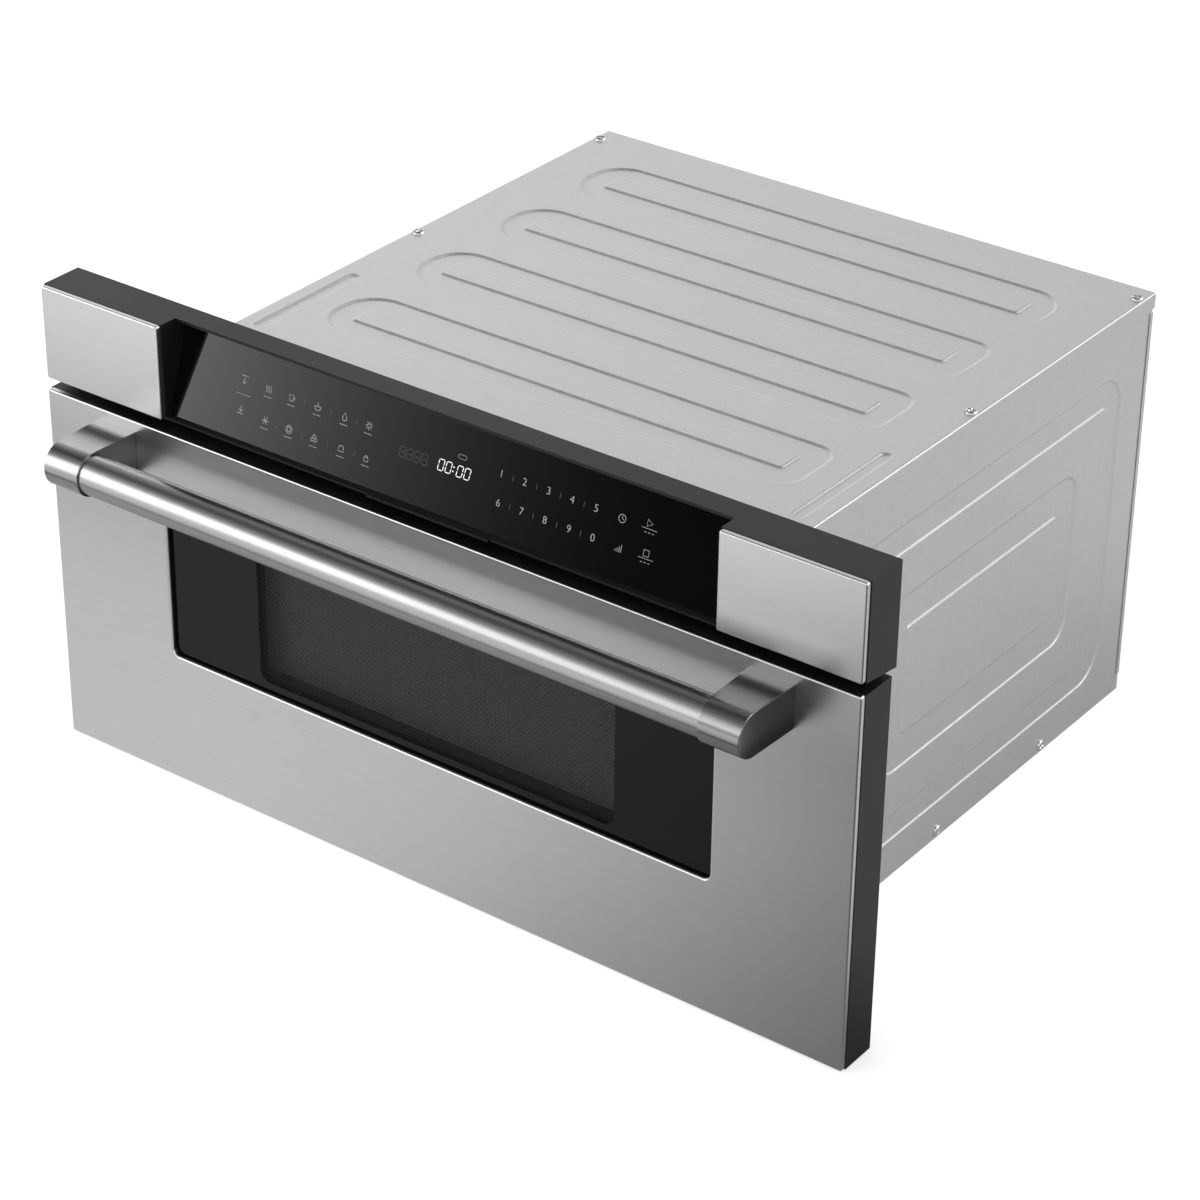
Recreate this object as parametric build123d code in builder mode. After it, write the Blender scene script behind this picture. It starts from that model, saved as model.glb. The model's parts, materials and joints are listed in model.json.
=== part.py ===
"""Built-in microwave drawer: a cabinet with fixed controls, and a powered drawer that slides out of it.

Millimetres. +Z is up, the user stands on the -Y side, and +X is to the user's right.
The origin is on the surface that the cabinet stands on, under the middle of the whole appliance.
Distances "behind the front" are measured from the black front face of the control housing and the door.
"""

from build123d import *
from math import acos, cos, pi, radians, sin, tan
import os

os.makedirs("parts", exist_ok=True)

# ---------------------------------------------------------------- driving sizes: the front
front_width = 760.0
panel_height = 79.5
panel_drop = 4.8  # how much lower the control housing's underside is at its back
front_gap = 9.5
door_height = 314.8
door_lift = 1.6  # the door's lower edge above the base
bezel_depth = 37.5
door_depth = 32.3
steel_proud = 4.6
skin = 1.0
tile_corner = 2.0
steel_edge = 1.3
moulding_wall = 2.5

recess_width = 516.0
recess_step = 16.0  # how far the top edge of the recess stands back
top_plate = 2.5
glass_tilt = 17.5
glass_setback = 5.7
glass_ledge = 2.0
touch_glass = 4.0
lip_width = 114.0
lip_reach = 2.4
lip_height = 2.2

display_width = 76.0
display_height = 30.0
display_x = 18.0
board_width = 320.0
board_height = 44.0
board_thickness = 1.6

# ---------------------------------------------------------------- driving sizes: the door
window_width = 524.0
window_height = 140.0
window_drop = 61.0  # from the door's upper edge to the window's
window_corner = 8.0
window_glass_size = 4.0
glass_rebate = 6.0
screen_depth = 16.0
screen_sheet = 0.8
screen_width = 342.0
screen_height = 106.0
choke_sheet = 1.0
choke_margin = 14.0
seal_width = 9.0

handle_reach = 50.9  # axis of the bar in front of the black front
handle_drop = 27.2  # axis of the bar below the door's upper edge
handle_bar_diameter = 32.4
bracket_diameter = 36.0
bracket_outer = 652.0  # over both brackets
bracket_width = 39.0
bracket_taper = 2.2  # each side of a bracket draws in by this much towards its nose
handle_screw = 6.0

# ---------------------------------------------------------------- driving sizes: the cabinet
cabinet_width = 543.4
cabinet_height = 367.8
cabinet_depth = 546.0
sheet = 1.0
base_sheet = 1.2
cover_flange = 12.0
edge_flange = 15.0
top_fold = 10.0
press_depth = 1.4

flange_sheet = 2.0
flange_width = 730.0
flange_height = 388.0
flange_lift = 8.0
flange_return = 10.0
mount_hole = 5.0
mount_spacing_x = 690.0
mount_spacing_z = 250.0
mount_lift = 40.0

rib_count = 4
rib_pitch = 109.7
rib_first = 129.5  # first rib behind the cabinet's front
rib_length = 448.0
rib_breadth = 67.0
rib_band = 21.0
rib_corner = 16.0
side_bead_x = 252.5
side_bead_width = 9.0
side_bead_length = 120.0
side_bead_start = 62.0

panel_press_y = 303.5  # middle of the pressed side panel behind the cabinet's front
panel_press_z = 174.6
press_outer = (400.0, 280.0)
press_middle = (278.0, 153.0)
press_band = (23.0, 29.0)
press_corner = (30.0, 22.0)

# ---------------------------------------------------------------- driving sizes: the oven
cavity_width = 440.0
cavity_height = 190.0
cavity_depth = 430.0
cavity_lift = 108.0
cavity_sheet = 0.8
cavity_flange = 12.0

drawer_travel = 380.0
drawer_side_gap = 8.0
drawer_floor_gap = 2.4
drawer_wall = 1.5
drawer_height = 138.0
drawer_corner = 22.0
drawer_rim = 4.0
drawer_back_gap = 16.0
tray_plate = 6.0
tray_margin = 9.0
tray_dish = 2.0

stirrer_y = 220.0  # behind the cabinet's front
stirrer_radius = 64.0
stirrer_cover_radius = 92.0
stirrer_cover_depth = 20.0
stirrer_shaft = 6.0
guide_width = 92.0
guide_height = 43.0
guide_length = 345.0

magnetron_y = 481.0
magnetron_width = 90.0
magnetron_depth = 80.0
magnetron_height = 62.0

fan_x = -150.0
fan_z = 215.0
fan_bore = 130.0
fan_frame = 150.0
fan_tip_gap = 2.0
fan_hub = 38.0
fan_blades = 7

bracket_sheet = 2.0
bracket_length = 52.0
bracket_foot = 36.0
bracket_rise = 16.0  # the motor bracket's top above the pinion's axis
gearbox_size = (28.0, 42.0, 40.0)
gearbox_offset = (6.0, -3.0)  # middle of the gearbox from the pinion's axis, in Y and Z
shaft_grip = 19.6
motor_diameter = 34.0
motor_length = 56.0

base_slot_rows = (-110.0, 40.0)  # middles of the two groups of cooling slots across the base pan
base_slot_y = 300.0  # and behind the cabinet's front
base_bead_x = 215.0
base_bead_y = 250.0
base_bead = (16.0, 380.0)
base_bead_height = 6.0

# ---------------------------------------------------------------- driving sizes: power and small electrics
core_width = 96.0
core_depth = 58.0
core_height = 74.0
core_foot = 8.0  # how far the foot plate stands out on each side
foot_plate = 2.0
coil_width = 66.0
coil_depth = 82.0
coil_height = 44.0
coil_lift = 14.0
core_x = 168.0
core_back_gap = 45.0  # middle of the transformer in front of the back panel
foot_hole = 5.0

can_length = 52.0
can_breadth = 33.0
can_height = 84.0
can_x = -198.0
can_back_gap = 40.0
can_tab = 11.0
blade_width = 6.3
blade_height = 10.0
blade_spacing = 20.0

gland_x = -215.0
gland_drop = 37.8  # under the cabinet's top
gland_hole = 16.0
gland_collar = 24.0
gland_bore = 8.5
filter_x = -130.0
filter_drop = 35.8
filter_width = 72.0
filter_height = 44.0
filter_standoff = 6.0
filter_parts = 11.0
choke_ring = 26.0

lamp_width = 40.0
lamp_height = 30.0
lamp_depth = 12.0
bulb_diameter = 20.0
cutout_diameter = 16.0
cutout_height = 10.0
fitting_back = 150.0  # lamp and cutout, in front of the oven's back
fitting_drop = 40.0  # and under its roof

louvre_length = 88.0
louvre_width = 5.0
louvre_pitch = 14.0
louvre_x = 160.0
louvre_drop = 67.8
louvre_lift = 70.0
intake_slots = 9
intake_pitch = 12.0

# ---------------------------------------------------------------- driving sizes: slides and drive
rail_height = 45.0
rail_width = 12.7
rail_sheet = 1.2
rail_lift = 72.0
rail_length = 460.0
rail_standoff = 2.2
rail_mid_height = 35.6
rail_inner_height = 26.0
rail_gap = 0.9

gear_module = 1.5
pinion_teeth = 16
pressure_angle = 20.0
tooth_backlash = 0.25
rack_x = 125.0
rack_width = 10.0
rack_back = 8.0  # solid bar behind the rack's teeth
pinion_y = 20.5  # behind the cabinet's front
shaft_diameter = 8.0
shaft_fit = 0.05

fit_gap = 0.3  # between solids that move past each other
part_gap = 0.2  # between a moulding and what drops into it

# ---------------------------------------------------------------- places worked out from them
gland_reach = 10.0
nose_reach = handle_reach + bracket_diameter / 2
overall_depth = nose_reach + bezel_depth + flange_sheet + cabinet_depth + gland_reach
front_y = nose_reach - overall_depth / 2
flange_y = front_y + bezel_depth
cabinet_y = flange_y + flange_sheet
back_y = cabinet_y + cabinet_depth

door_bottom = door_lift
door_top = door_bottom + door_height
panel_bottom = door_top + front_gap
top_z = panel_bottom + panel_height

half_cabinet = cabinet_width / 2
side_x = half_cabinet - sheet  # outer face of a side wall
inner_x = side_x - sheet

window_top = door_top - window_drop
window_z = window_top - window_height / 2
handle_z = door_top - handle_drop
handle_y = front_y - handle_reach

cavity_top = cavity_lift + cavity_height
cavity_back = cabinet_y + cavity_depth
guide_z = cavity_top + cavity_sheet

pitch_radius = gear_module * pinion_teeth / 2
rack_pitch_z = rail_lift - 6.0
pinion_z = rack_pitch_z - pitch_radius
pinion_axis_y = cabinet_y + pinion_y


def facing_front(distance):
    """Plane that faces the user, this far behind the black front."""
    return Plane.XZ.offset(-(front_y + distance))


def facing_front_at(y):
    """Plane that faces the user, at this Y."""
    return Plane.XZ.offset(-y)


def facing_right(x):
    """Plane that faces the user's right, at this X, with Y and Z as its own directions."""
    return Plane.YZ.offset(x)


def level(z):
    """Horizontal plane at this height."""
    return Plane.XY.offset(z)


def save(part, name):
    """Label a finished piece and write it to its own file."""
    part.label = name
    export_step(part, f"parts/{name}.step")


# ================================================================ control housing and its pieces
glass_bottom = panel_bottom + glass_ledge
glass_rise = panel_height - glass_ledge - top_plate
glass_length = glass_rise / cos(radians(glass_tilt))
glass_plane = Plane(
    origin=(0, front_y + glass_setback, glass_bottom),
    x_dir=(1, 0, 0),
    z_dir=(0, -cos(radians(glass_tilt)), sin(radians(glass_tilt))),
)
glass_slab = touch_glass / cos(radians(glass_tilt))
glass_lean = glass_rise * tan(radians(glass_tilt))
tile_width = (front_width - recess_width) / 2 - 1.5
tile_height = panel_height - 1.0
tile_x = recess_width / 2 + 0.8 + tile_width / 2
tile_z = panel_bottom + panel_height / 2
display_v = glass_length / 2


def control_housing():
    """Black moulding: a deep bezel with an open recess that leans back, hollow from behind."""
    with BuildPart() as housing:
        with BuildSketch(facing_right(-front_width / 2)):
            with BuildLine():
                Polyline(
                    (front_y, panel_bottom),
                    (front_y, top_z),
                    (flange_y, top_z),
                    (flange_y, panel_bottom - panel_drop),
                    close=True,
                )
            make_face()
        extrude(amount=front_width)
        # recess in front of the glass
        with BuildSketch(facing_right(-recess_width / 2)):
            with BuildLine():
                Polyline(
                    (front_y - 1, glass_bottom),
                    (front_y + glass_setback, glass_bottom),
                    (front_y + glass_setback + glass_lean, top_z - top_plate),
                    (front_y + recess_step, top_z - top_plate),
                    (front_y + recess_step, top_z + 1),
                    (front_y - 1, top_z + 1),
                    close=True,
                )
            make_face()
        extrude(amount=recess_width, mode=Mode.SUBTRACT)
        # seat of the glass
        with BuildSketch(glass_plane):
            with Locations((0, glass_length / 2)):
                Rectangle(recess_width, glass_length)
        extrude(amount=-touch_glass, mode=Mode.SUBTRACT)
        # pockets behind the tiles
        pocket_width = front_width / 2 - recess_width / 2 - 2 * moulding_wall
        pocket_height = panel_height - 2 * moulding_wall
        with BuildSketch(facing_front_at(flange_y)):
            with Locations((-tile_x, tile_z), (tile_x, tile_z)):
                Rectangle(pocket_width, pocket_height)
        extrude(amount=bezel_depth - moulding_wall, mode=Mode.SUBTRACT)
        # wedge-shaped pocket behind the glass
        wall_y = front_y + glass_setback + glass_slab + moulding_wall
        wedge_bottom = panel_bottom + moulding_wall
        wedge_rise = (flange_y - wall_y) / tan(radians(glass_tilt)) - moulding_wall
        with BuildSketch(facing_right(-recess_width / 2)):
            with BuildLine():
                Polyline(
                    (wall_y + moulding_wall * tan(radians(glass_tilt)), wedge_bottom),
                    (flange_y, wedge_bottom),
                    (flange_y, wedge_bottom + wedge_rise),
                    close=True,
                )
            make_face()
        extrude(amount=recess_width, mode=Mode.SUBTRACT)
        # window for the display in the leaning wall
        with BuildSketch(glass_plane.offset(-touch_glass)):
            with Locations((display_x, display_v)):
                Rectangle(display_width + 2 * part_gap, display_height + 2 * part_gap)
        extrude(amount=-2 * moulding_wall, mode=Mode.SUBTRACT)
        # raised pads that the steel tiles clip over
        with BuildSketch(facing_front(0)):
            with Locations((-tile_x, tile_z), (tile_x, tile_z)):
                Rectangle(tile_width - 2 * skin - 2 * part_gap, tile_height - 2 * skin - 2 * part_gap)
        extrude(amount=steel_proud - skin)
    return housing.part


def control_tile(side):
    """Steel tile beside the recess: a shallow pan with rounded edges."""
    with BuildPart() as tile:
        with BuildSketch(facing_front(0)):
            with Locations((side * tile_x, tile_z)):
                RectangleRounded(tile_width, tile_height, tile_corner)
        extrude(amount=steel_proud)
        fillet(tile.faces().sort_by(Axis.Y)[0].edges(), steel_edge)
        with BuildSketch(facing_front(0)):
            with Locations((side * tile_x, tile_z)):
                Rectangle(tile_width - 2 * skin, tile_height - 2 * skin)
        extrude(amount=steel_proud - skin, mode=Mode.SUBTRACT)
    return tile.part


def control_glass():
    """Touch glass that leans back, wall to wall in the recess."""
    with BuildPart() as glass:
        with BuildSketch(glass_plane):
            with Locations((0, glass_length / 2)):
                Rectangle(recess_width - 2 * part_gap, glass_length)
        extrude(amount=-touch_glass)
    return glass.part


def sensor_lip():
    """Low lip on the ledge under the middle of the glass."""
    with BuildPart() as lip:
        with BuildSketch(facing_front(0)):
            with Locations((0, panel_bottom + lip_height / 2)):
                RectangleRounded(lip_width, lip_height, 0.6)
        extrude(amount=lip_reach)
    return lip.part


def display_module():
    """Display behind the glass, in the window of the leaning wall."""
    with BuildPart() as module:
        with BuildSketch(glass_plane.offset(-touch_glass)):
            with Locations((display_x, display_v)):
                Rectangle(display_width, display_height)
        extrude(amount=-moulding_wall)
    return module.part


def control_board():
    """Circuit board on the mounting plate behind the glass, with its relays and ribbon socket."""
    relay = (14.0, 10.0, 9.0)
    board_z = panel_bottom + moulding_wall + board_height / 2 + 2
    with BuildPart() as board:
        with BuildSketch(facing_front_at(flange_y)):
            with Locations((0, board_z)):
                Rectangle(board_width, board_height)
        extrude(amount=board_thickness)
        with BuildSketch(facing_front_at(flange_y - board_thickness)):
            with Locations((0, board_z - board_height / 4)):
                with GridLocations(2.4 * relay[0], 1, 4, 1):
                    Rectangle(relay[0], relay[1])
        extrude(amount=relay[2])
    return board.part


save(control_housing(), "control_housing")
save(control_tile(-1), "control_tile_left")
save(control_tile(1), "control_tile_right")
save(control_glass(), "control_glass")
save(sensor_lip(), "sensor_lip")
save(display_module(), "display_module")
save(control_board(), "control_board")

# ================================================================ mounting flange and cabinet sheets
flange_z = flange_lift + flange_height / 2
mouth_z = cavity_lift + cavity_height / 2
slide_opening_width = 2 * (inner_x - 1)
slide_opening_bottom = rail_lift - rail_height / 2 - 20
slide_opening_top = rail_lift + rail_height / 2 + 3
mount_z = mount_lift + mount_spacing_z / 2
latch_x = cavity_width / 2 + 21.0
latch_z = cavity_top - 34.0
latch_slot = (9.0, 22.0)


screw_head = 7.6
screw_head_height = 2.2
screw_shank = 3.4
screw_length = 8.0
top_screw_rows = (276.5, cabinet_depth - 19.0)
side_screw_rows = (257.8, 417.1)
side_screw_z = 6.4
screw_inset = 6.5
back_screw_inset = 40.0


def screw_places():
    """Planes of the cover's, the walls' and the back panel's screws, each facing out of its sheet."""
    places = []
    for side in (-1, 1):
        for row in top_screw_rows:
            origin = (side * (half_cabinet - screw_inset), cabinet_y + row, cabinet_height)
            places.append(Plane(origin=origin, z_dir=(0, 0, 1)))
        for row in side_screw_rows:
            places.append(Plane(origin=(side * side_x, cabinet_y + row, side_screw_z), z_dir=(side, 0, 0)))
        for height in (back_screw_inset, cabinet_height - back_screw_inset):
            places.append(Plane(origin=(side * (inner_x - edge_flange / 2), back_y, height), z_dir=(0, 1, 0)))
    return places


def screw_holes():
    """Clearance holes of all sheet screws, as one shape to cut away."""
    with BuildPart() as holes:
        for place in screw_places():
            with BuildSketch(place):
                Circle(screw_shank / 2 + part_gap / 2)
            extrude(amount=-screw_length)
    return holes.part


def mounting_flange():
    """Front plate that the kitchen cabinet's frame carries, with its edges turned back."""
    with BuildPart() as flange:
        with BuildSketch(facing_front_at(cabinet_y)):
            with Locations((0, flange_z)):
                Rectangle(flange_width, flange_height)
        extrude(amount=flange_sheet)
        with BuildSketch(facing_front_at(cabinet_y)):
            with Locations((0, flange_z)):
                Rectangle(flange_width, flange_height)
                Rectangle(flange_width - 2 * sheet, flange_height - 2 * sheet, mode=Mode.SUBTRACT)
        extrude(amount=-flange_return)
        # the lower edge is turned back only beside the cabinet
        with BuildSketch(facing_front_at(cabinet_y)):
            with Locations((0, flange_lift)):
                Rectangle(cabinet_width + 4, 4 * sheet)
        extrude(amount=-flange_return, mode=Mode.SUBTRACT)
        # mouth of the oven
        with BuildSketch(facing_front_at(cabinet_y)):
            with Locations((0, mouth_z)):
                Rectangle(cavity_width, cavity_height)
        extrude(amount=flange_sheet, mode=Mode.SUBTRACT)
        # opening for the slides and the drive
        with BuildSketch(facing_front_at(cabinet_y)):
            with Locations((0, (slide_opening_bottom + slide_opening_top) / 2)):
                Rectangle(slide_opening_width, slide_opening_top - slide_opening_bottom)
        extrude(amount=flange_sheet, mode=Mode.SUBTRACT)
        # slots for the latch hooks
        with BuildSketch(facing_front_at(cabinet_y)):
            with Locations((-latch_x, latch_z), (latch_x, latch_z)):
                Rectangle(*latch_slot)
        extrude(amount=flange_sheet, mode=Mode.SUBTRACT)
        # screw holes, reached when the drawer is open
        with BuildSketch(facing_front_at(cabinet_y)):
            with Locations((0, mount_z)):
                with GridLocations(mount_spacing_x, mount_spacing_z, 2, 2):
                    Circle(mount_hole / 2)
        extrude(amount=flange_sheet, mode=Mode.SUBTRACT)
    return flange.part


def cabinet_cover():
    """Top cover: side edges folded down over the walls, long pressed ribs and two short beads."""
    with BuildPart() as cover:
        with BuildSketch(level(cabinet_height - sheet)):
            with Locations((0, cabinet_y + cabinet_depth / 2)):
                Rectangle(cabinet_width, cabinet_depth)
        extrude(amount=sheet)
        with BuildSketch(level(cabinet_height - sheet)):
            with Locations(
                (-half_cabinet + sheet / 2, cabinet_y + cabinet_depth / 2),
                (half_cabinet - sheet / 2, cabinet_y + cabinet_depth / 2),
            ):
                Rectangle(sheet, cabinet_depth)
        extrude(amount=-cover_flange)
        rib_middle = cabinet_y + rib_first + rib_pitch * (rib_count - 1) / 2
        # underside of the pressed bands
        with BuildSketch(level(cabinet_height - sheet)):
            with Locations((0, rib_middle)):
                with GridLocations(0, rib_pitch, 1, rib_count):
                    RectangleRounded(rib_length + 2 * sheet, rib_breadth + 2 * sheet, rib_corner + sheet)
            with Locations((0, rib_middle)):
                with GridLocations(0, rib_pitch, 1, rib_count):
                    RectangleRounded(
                        rib_length - 2 * rib_band - 2 * sheet,
                        rib_breadth - 2 * rib_band - 2 * sheet,
                        sheet,
                        mode=Mode.SUBTRACT,
                    )
            with Locations(
                (-side_bead_x, cabinet_y + side_bead_start + side_bead_length / 2),
                (side_bead_x, cabinet_y + side_bead_start + side_bead_length / 2),
            ):
                RectangleRounded(side_bead_width + 2 * sheet, side_bead_length + 2 * sheet, sheet * 2)
        extrude(amount=-press_depth)
        # bands pressed into the top face
        with BuildSketch(level(cabinet_height)):
            with Locations((0, rib_middle)):
                with GridLocations(0, rib_pitch, 1, rib_count):
                    RectangleRounded(rib_length, rib_breadth, rib_corner)
            with Locations((0, rib_middle)):
                with GridLocations(0, rib_pitch, 1, rib_count):
                    RectangleRounded(
                        rib_length - 2 * rib_band,
                        rib_breadth - 2 * rib_band,
                        2 * sheet,
                        mode=Mode.SUBTRACT,
                    )
            with Locations(
                (-side_bead_x, cabinet_y + side_bead_start + side_bead_length / 2),
                (side_bead_x, cabinet_y + side_bead_start + side_bead_length / 2),
            ):
                RectangleRounded(side_bead_width, side_bead_length, 2 * sheet)
        extrude(amount=-press_depth, mode=Mode.SUBTRACT)
        add(screw_holes(), mode=Mode.SUBTRACT)
    return cover.part


def cabinet_side(side):
    """Side wall with two pressed frames, its front and back edges folded inwards."""
    wall_height = cabinet_height - sheet
    press_y = cabinet_y + panel_press_y
    with BuildPart() as wall:
        with BuildSketch(facing_right(side * inner_x)):
            with Locations((cabinet_y + cabinet_depth / 2, wall_height / 2)):
                Rectangle(cabinet_depth, wall_height)
        extrude(amount=side * sheet)
        # folded edges
        with BuildSketch(facing_right(side * inner_x)):
            with Locations(
                (cabinet_y + sheet / 2, wall_height / 2),
                (back_y - sheet - sheet / 2, wall_height / 2),
            ):
                Rectangle(sheet, wall_height - 2 * edge_flange)
        extrude(amount=-side * edge_flange)
        # notch that lets the slide through the front fold
        with BuildSketch(facing_right(side * inner_x)):
            with Locations((cabinet_y, (slide_opening_bottom + slide_opening_top) / 2)):
                Rectangle(2 * sheet, slide_opening_top - slide_opening_bottom)
        extrude(amount=-side * edge_flange, mode=Mode.SUBTRACT)
        # inner faces of the pressed frames
        with BuildSketch(facing_right(side * inner_x)):
            with Locations((press_y, panel_press_z)):
                for size, band, corner in zip((press_outer, press_middle), press_band, press_corner):
                    RectangleRounded(size[0] + 2 * sheet, size[1] + 2 * sheet, corner + sheet)
                    RectangleRounded(
                        size[0] - 2 * band - 2 * sheet,
                        size[1] - 2 * band - 2 * sheet,
                        corner / 3,
                        mode=Mode.SUBTRACT,
                    )
        extrude(amount=-side * press_depth)
        # frames pressed into the outer face
        with BuildSketch(facing_right(side * side_x)):
            with Locations((press_y, panel_press_z)):
                for size, band, corner in zip((press_outer, press_middle), press_band, press_corner):
                    RectangleRounded(*size, corner)
                    RectangleRounded(
                        size[0] - 2 * band,
                        size[1] - 2 * band,
                        corner / 3 + sheet,
                        mode=Mode.SUBTRACT,
                    )
        extrude(amount=-side * press_depth, mode=Mode.SUBTRACT)
        # top fold under the cover
        with BuildSketch(level(wall_height)):
            with Locations((side * (inner_x - top_fold / 2), cabinet_y + cabinet_depth / 2)):
                Rectangle(top_fold, cabinet_depth - 2 * edge_flange)
        extrude(amount=-sheet)
        add(screw_holes(), mode=Mode.SUBTRACT)
    return wall.part


gland_place = (gland_x, cabinet_height - gland_drop)


def cabinet_back():
    """Back panel between the walls, with louvre slots, the fan's intake and the gland's hole."""
    panel_top = cabinet_height - sheet
    with BuildPart() as panel:
        with BuildSketch(facing_front_at(back_y)):
            with Locations((0, (base_sheet + panel_top) / 2)):
                Rectangle(2 * inner_x, panel_top - base_sheet)
            with Locations(gland_place):
                Circle(gland_hole / 2, mode=Mode.SUBTRACT)
            with Locations((fan_x, fan_z)):
                with GridLocations(intake_pitch, 0, intake_slots, 1):
                    SlotOverall(fan_bore * 0.8, louvre_width, rotation=90, mode=Mode.SUBTRACT)
            with Locations((louvre_x, cabinet_height - louvre_drop), (louvre_x, louvre_lift)):
                with GridLocations(0, louvre_pitch, 1, 4):
                    SlotOverall(louvre_length, louvre_width, mode=Mode.SUBTRACT)
        extrude(amount=sheet)
        add(screw_holes(), mode=Mode.SUBTRACT)
    return panel.part


def cabinet_base():
    """Base pan: folded edges inside the walls, cooling slots, and two beads that stiffen its floor."""
    with BuildPart() as pan:
        with BuildSketch(level(0)):
            with Locations((0, cabinet_y + (cabinet_depth - sheet) / 2)):
                Rectangle(2 * inner_x, cabinet_depth - sheet)
            with Locations([(row, cabinet_y + base_slot_y) for row in base_slot_rows]):
                with GridLocations(0, louvre_pitch, 1, 6):
                    SlotOverall(louvre_length, louvre_width, mode=Mode.SUBTRACT)
        extrude(amount=base_sheet)
        with BuildSketch(level(base_sheet)):
            with Locations(
                (-inner_x + base_sheet / 2, cabinet_y + cabinet_depth / 2),
                (inner_x - base_sheet / 2, cabinet_y + cabinet_depth / 2),
            ):
                Rectangle(base_sheet, cabinet_depth - 4 * edge_flange)
        extrude(amount=edge_flange)
        # stiffening beads along the floor
        with BuildSketch(level(base_sheet)):
            with Locations([(side * base_bead_x, cabinet_y + base_bead_y) for side in (-1, 1)]):
                RectangleRounded(*base_bead, base_bead[0] * 0.4)
        extrude(amount=base_bead_height, taper=30)
        add(screw_holes(), mode=Mode.SUBTRACT)
    return pan.part


def cover_screws():
    """Pan-head screws of the cover, the walls and the back panel, as one group."""
    with BuildPart() as screws:
        for place in screw_places():
            with BuildSketch(place):
                Circle(screw_head / 2)
            extrude(amount=screw_head_height, taper=18)
            with BuildSketch(place):
                Circle(screw_shank / 2)
            extrude(amount=-screw_length)
    return screws.part


save(mounting_flange(), "mounting_flange")
save(cabinet_cover(), "cabinet_cover")
save(cabinet_side(-1), "cabinet_side_left")
save(cabinet_side(1), "cabinet_side_right")
save(cabinet_back(), "cabinet_back")
save(cabinet_base(), "cabinet_base")
save(cover_screws(), "cover_screws")

# ================================================================ oven cavity, waveguide and stirrer
stirrer_place_y = cabinet_y + stirrer_y
guide_slot = 38.0
guide_start = stirrer_place_y - guide_slot - 8
antenna_radius = 9.0
antenna_hole = 11.0
magnetron_place_y = cabinet_y + magnetron_y
vent_hole = 6.0
vent_back = 70.0  # middle of a group of vent holes in front of the oven's back wall
vent_drop = 40.0  # and below its roof


def oven_cavity():
    """Liner of folded sheet, open at the front, with a welded flange, vent holes and the stirrer's hole."""
    outer_width = cavity_width + 2 * cavity_sheet
    outer_height = cavity_height + 2 * cavity_sheet
    with BuildPart() as liner:
        with BuildSketch(facing_front_at(cabinet_y)):
            with Locations((0, mouth_z)):
                Rectangle(outer_width, outer_height)
        extrude(amount=-(cavity_depth + cavity_sheet))
        fillet(liner.edges().filter_by(Axis.Y), 6)
        with BuildSketch(facing_front_at(cabinet_y)):
            with Locations((0, mouth_z)):
                RectangleRounded(cavity_width, cavity_height, 5)
        extrude(amount=-cavity_depth, mode=Mode.SUBTRACT)
        with BuildSketch(facing_front_at(cabinet_y)):
            with Locations((0, mouth_z)):
                Rectangle(cavity_width + 2 * cavity_flange, cavity_height + 1.6 * cavity_flange)
                RectangleRounded(cavity_width, cavity_height, 5, mode=Mode.SUBTRACT)
        extrude(amount=-cavity_sheet)
        # hole over the stirrer
        with BuildSketch(level(cavity_top)):
            with Locations((0, stirrer_place_y)):
                Circle(guide_slot)
        extrude(amount=cavity_sheet, mode=Mode.SUBTRACT)
        # air holes through both walls
        with BuildSketch(facing_right(-cavity_width)):
            with Locations((cabinet_y + cavity_depth - vent_back, cavity_top - vent_drop)):
                with GridLocations(2 * vent_hole, 2 * vent_hole, 4, 3):
                    Circle(vent_hole / 2)
        extrude(amount=2 * cavity_width, mode=Mode.SUBTRACT)
    return liner.part


def waveguide():
    """Rectangular duct of sheet on the oven's roof, from the magnetron to the stirrer."""
    guide_middle = guide_start + guide_length / 2
    with BuildPart() as guide:
        with BuildSketch(level(guide_z)):
            with Locations((0, guide_middle)):
                Rectangle(guide_width, guide_length)
                Rectangle(guide_width + 2 * cavity_flange, guide_length - 2 * cavity_flange)
        extrude(amount=sheet)
        with BuildSketch(level(guide_z)):
            with Locations((0, guide_middle)):
                Rectangle(guide_width, guide_length)
        extrude(amount=guide_height)
        with BuildSketch(level(guide_z + sheet)):
            with Locations((0, guide_middle)):
                Rectangle(guide_width - 2 * sheet, guide_length - 2 * sheet)
        extrude(amount=guide_height - 2 * sheet, mode=Mode.SUBTRACT)
        with BuildSketch(level(guide_z)):
            with Locations((0, stirrer_place_y)):
                Circle(guide_slot)
            with Locations((0, magnetron_place_y)):
                Circle(antenna_hole)
        extrude(amount=sheet, mode=Mode.SUBTRACT)
        with BuildSketch(level(guide_z + guide_height - sheet)):
            with Locations((0, stirrer_place_y)):
                Circle(stirrer_shaft)
        extrude(amount=sheet, mode=Mode.SUBTRACT)
    return guide.part


stirrer_motor_z = guide_z + guide_height
stirrer_motor_height = 15.0
stirrer_hub_z = cavity_top - stirrer_cover_depth + 5
stirrer_socket = 9.0
stirrer_motor_radius = 24.0
stirrer_ear = (14.0, 12.0)
stirrer_ear_x = 28.0


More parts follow.
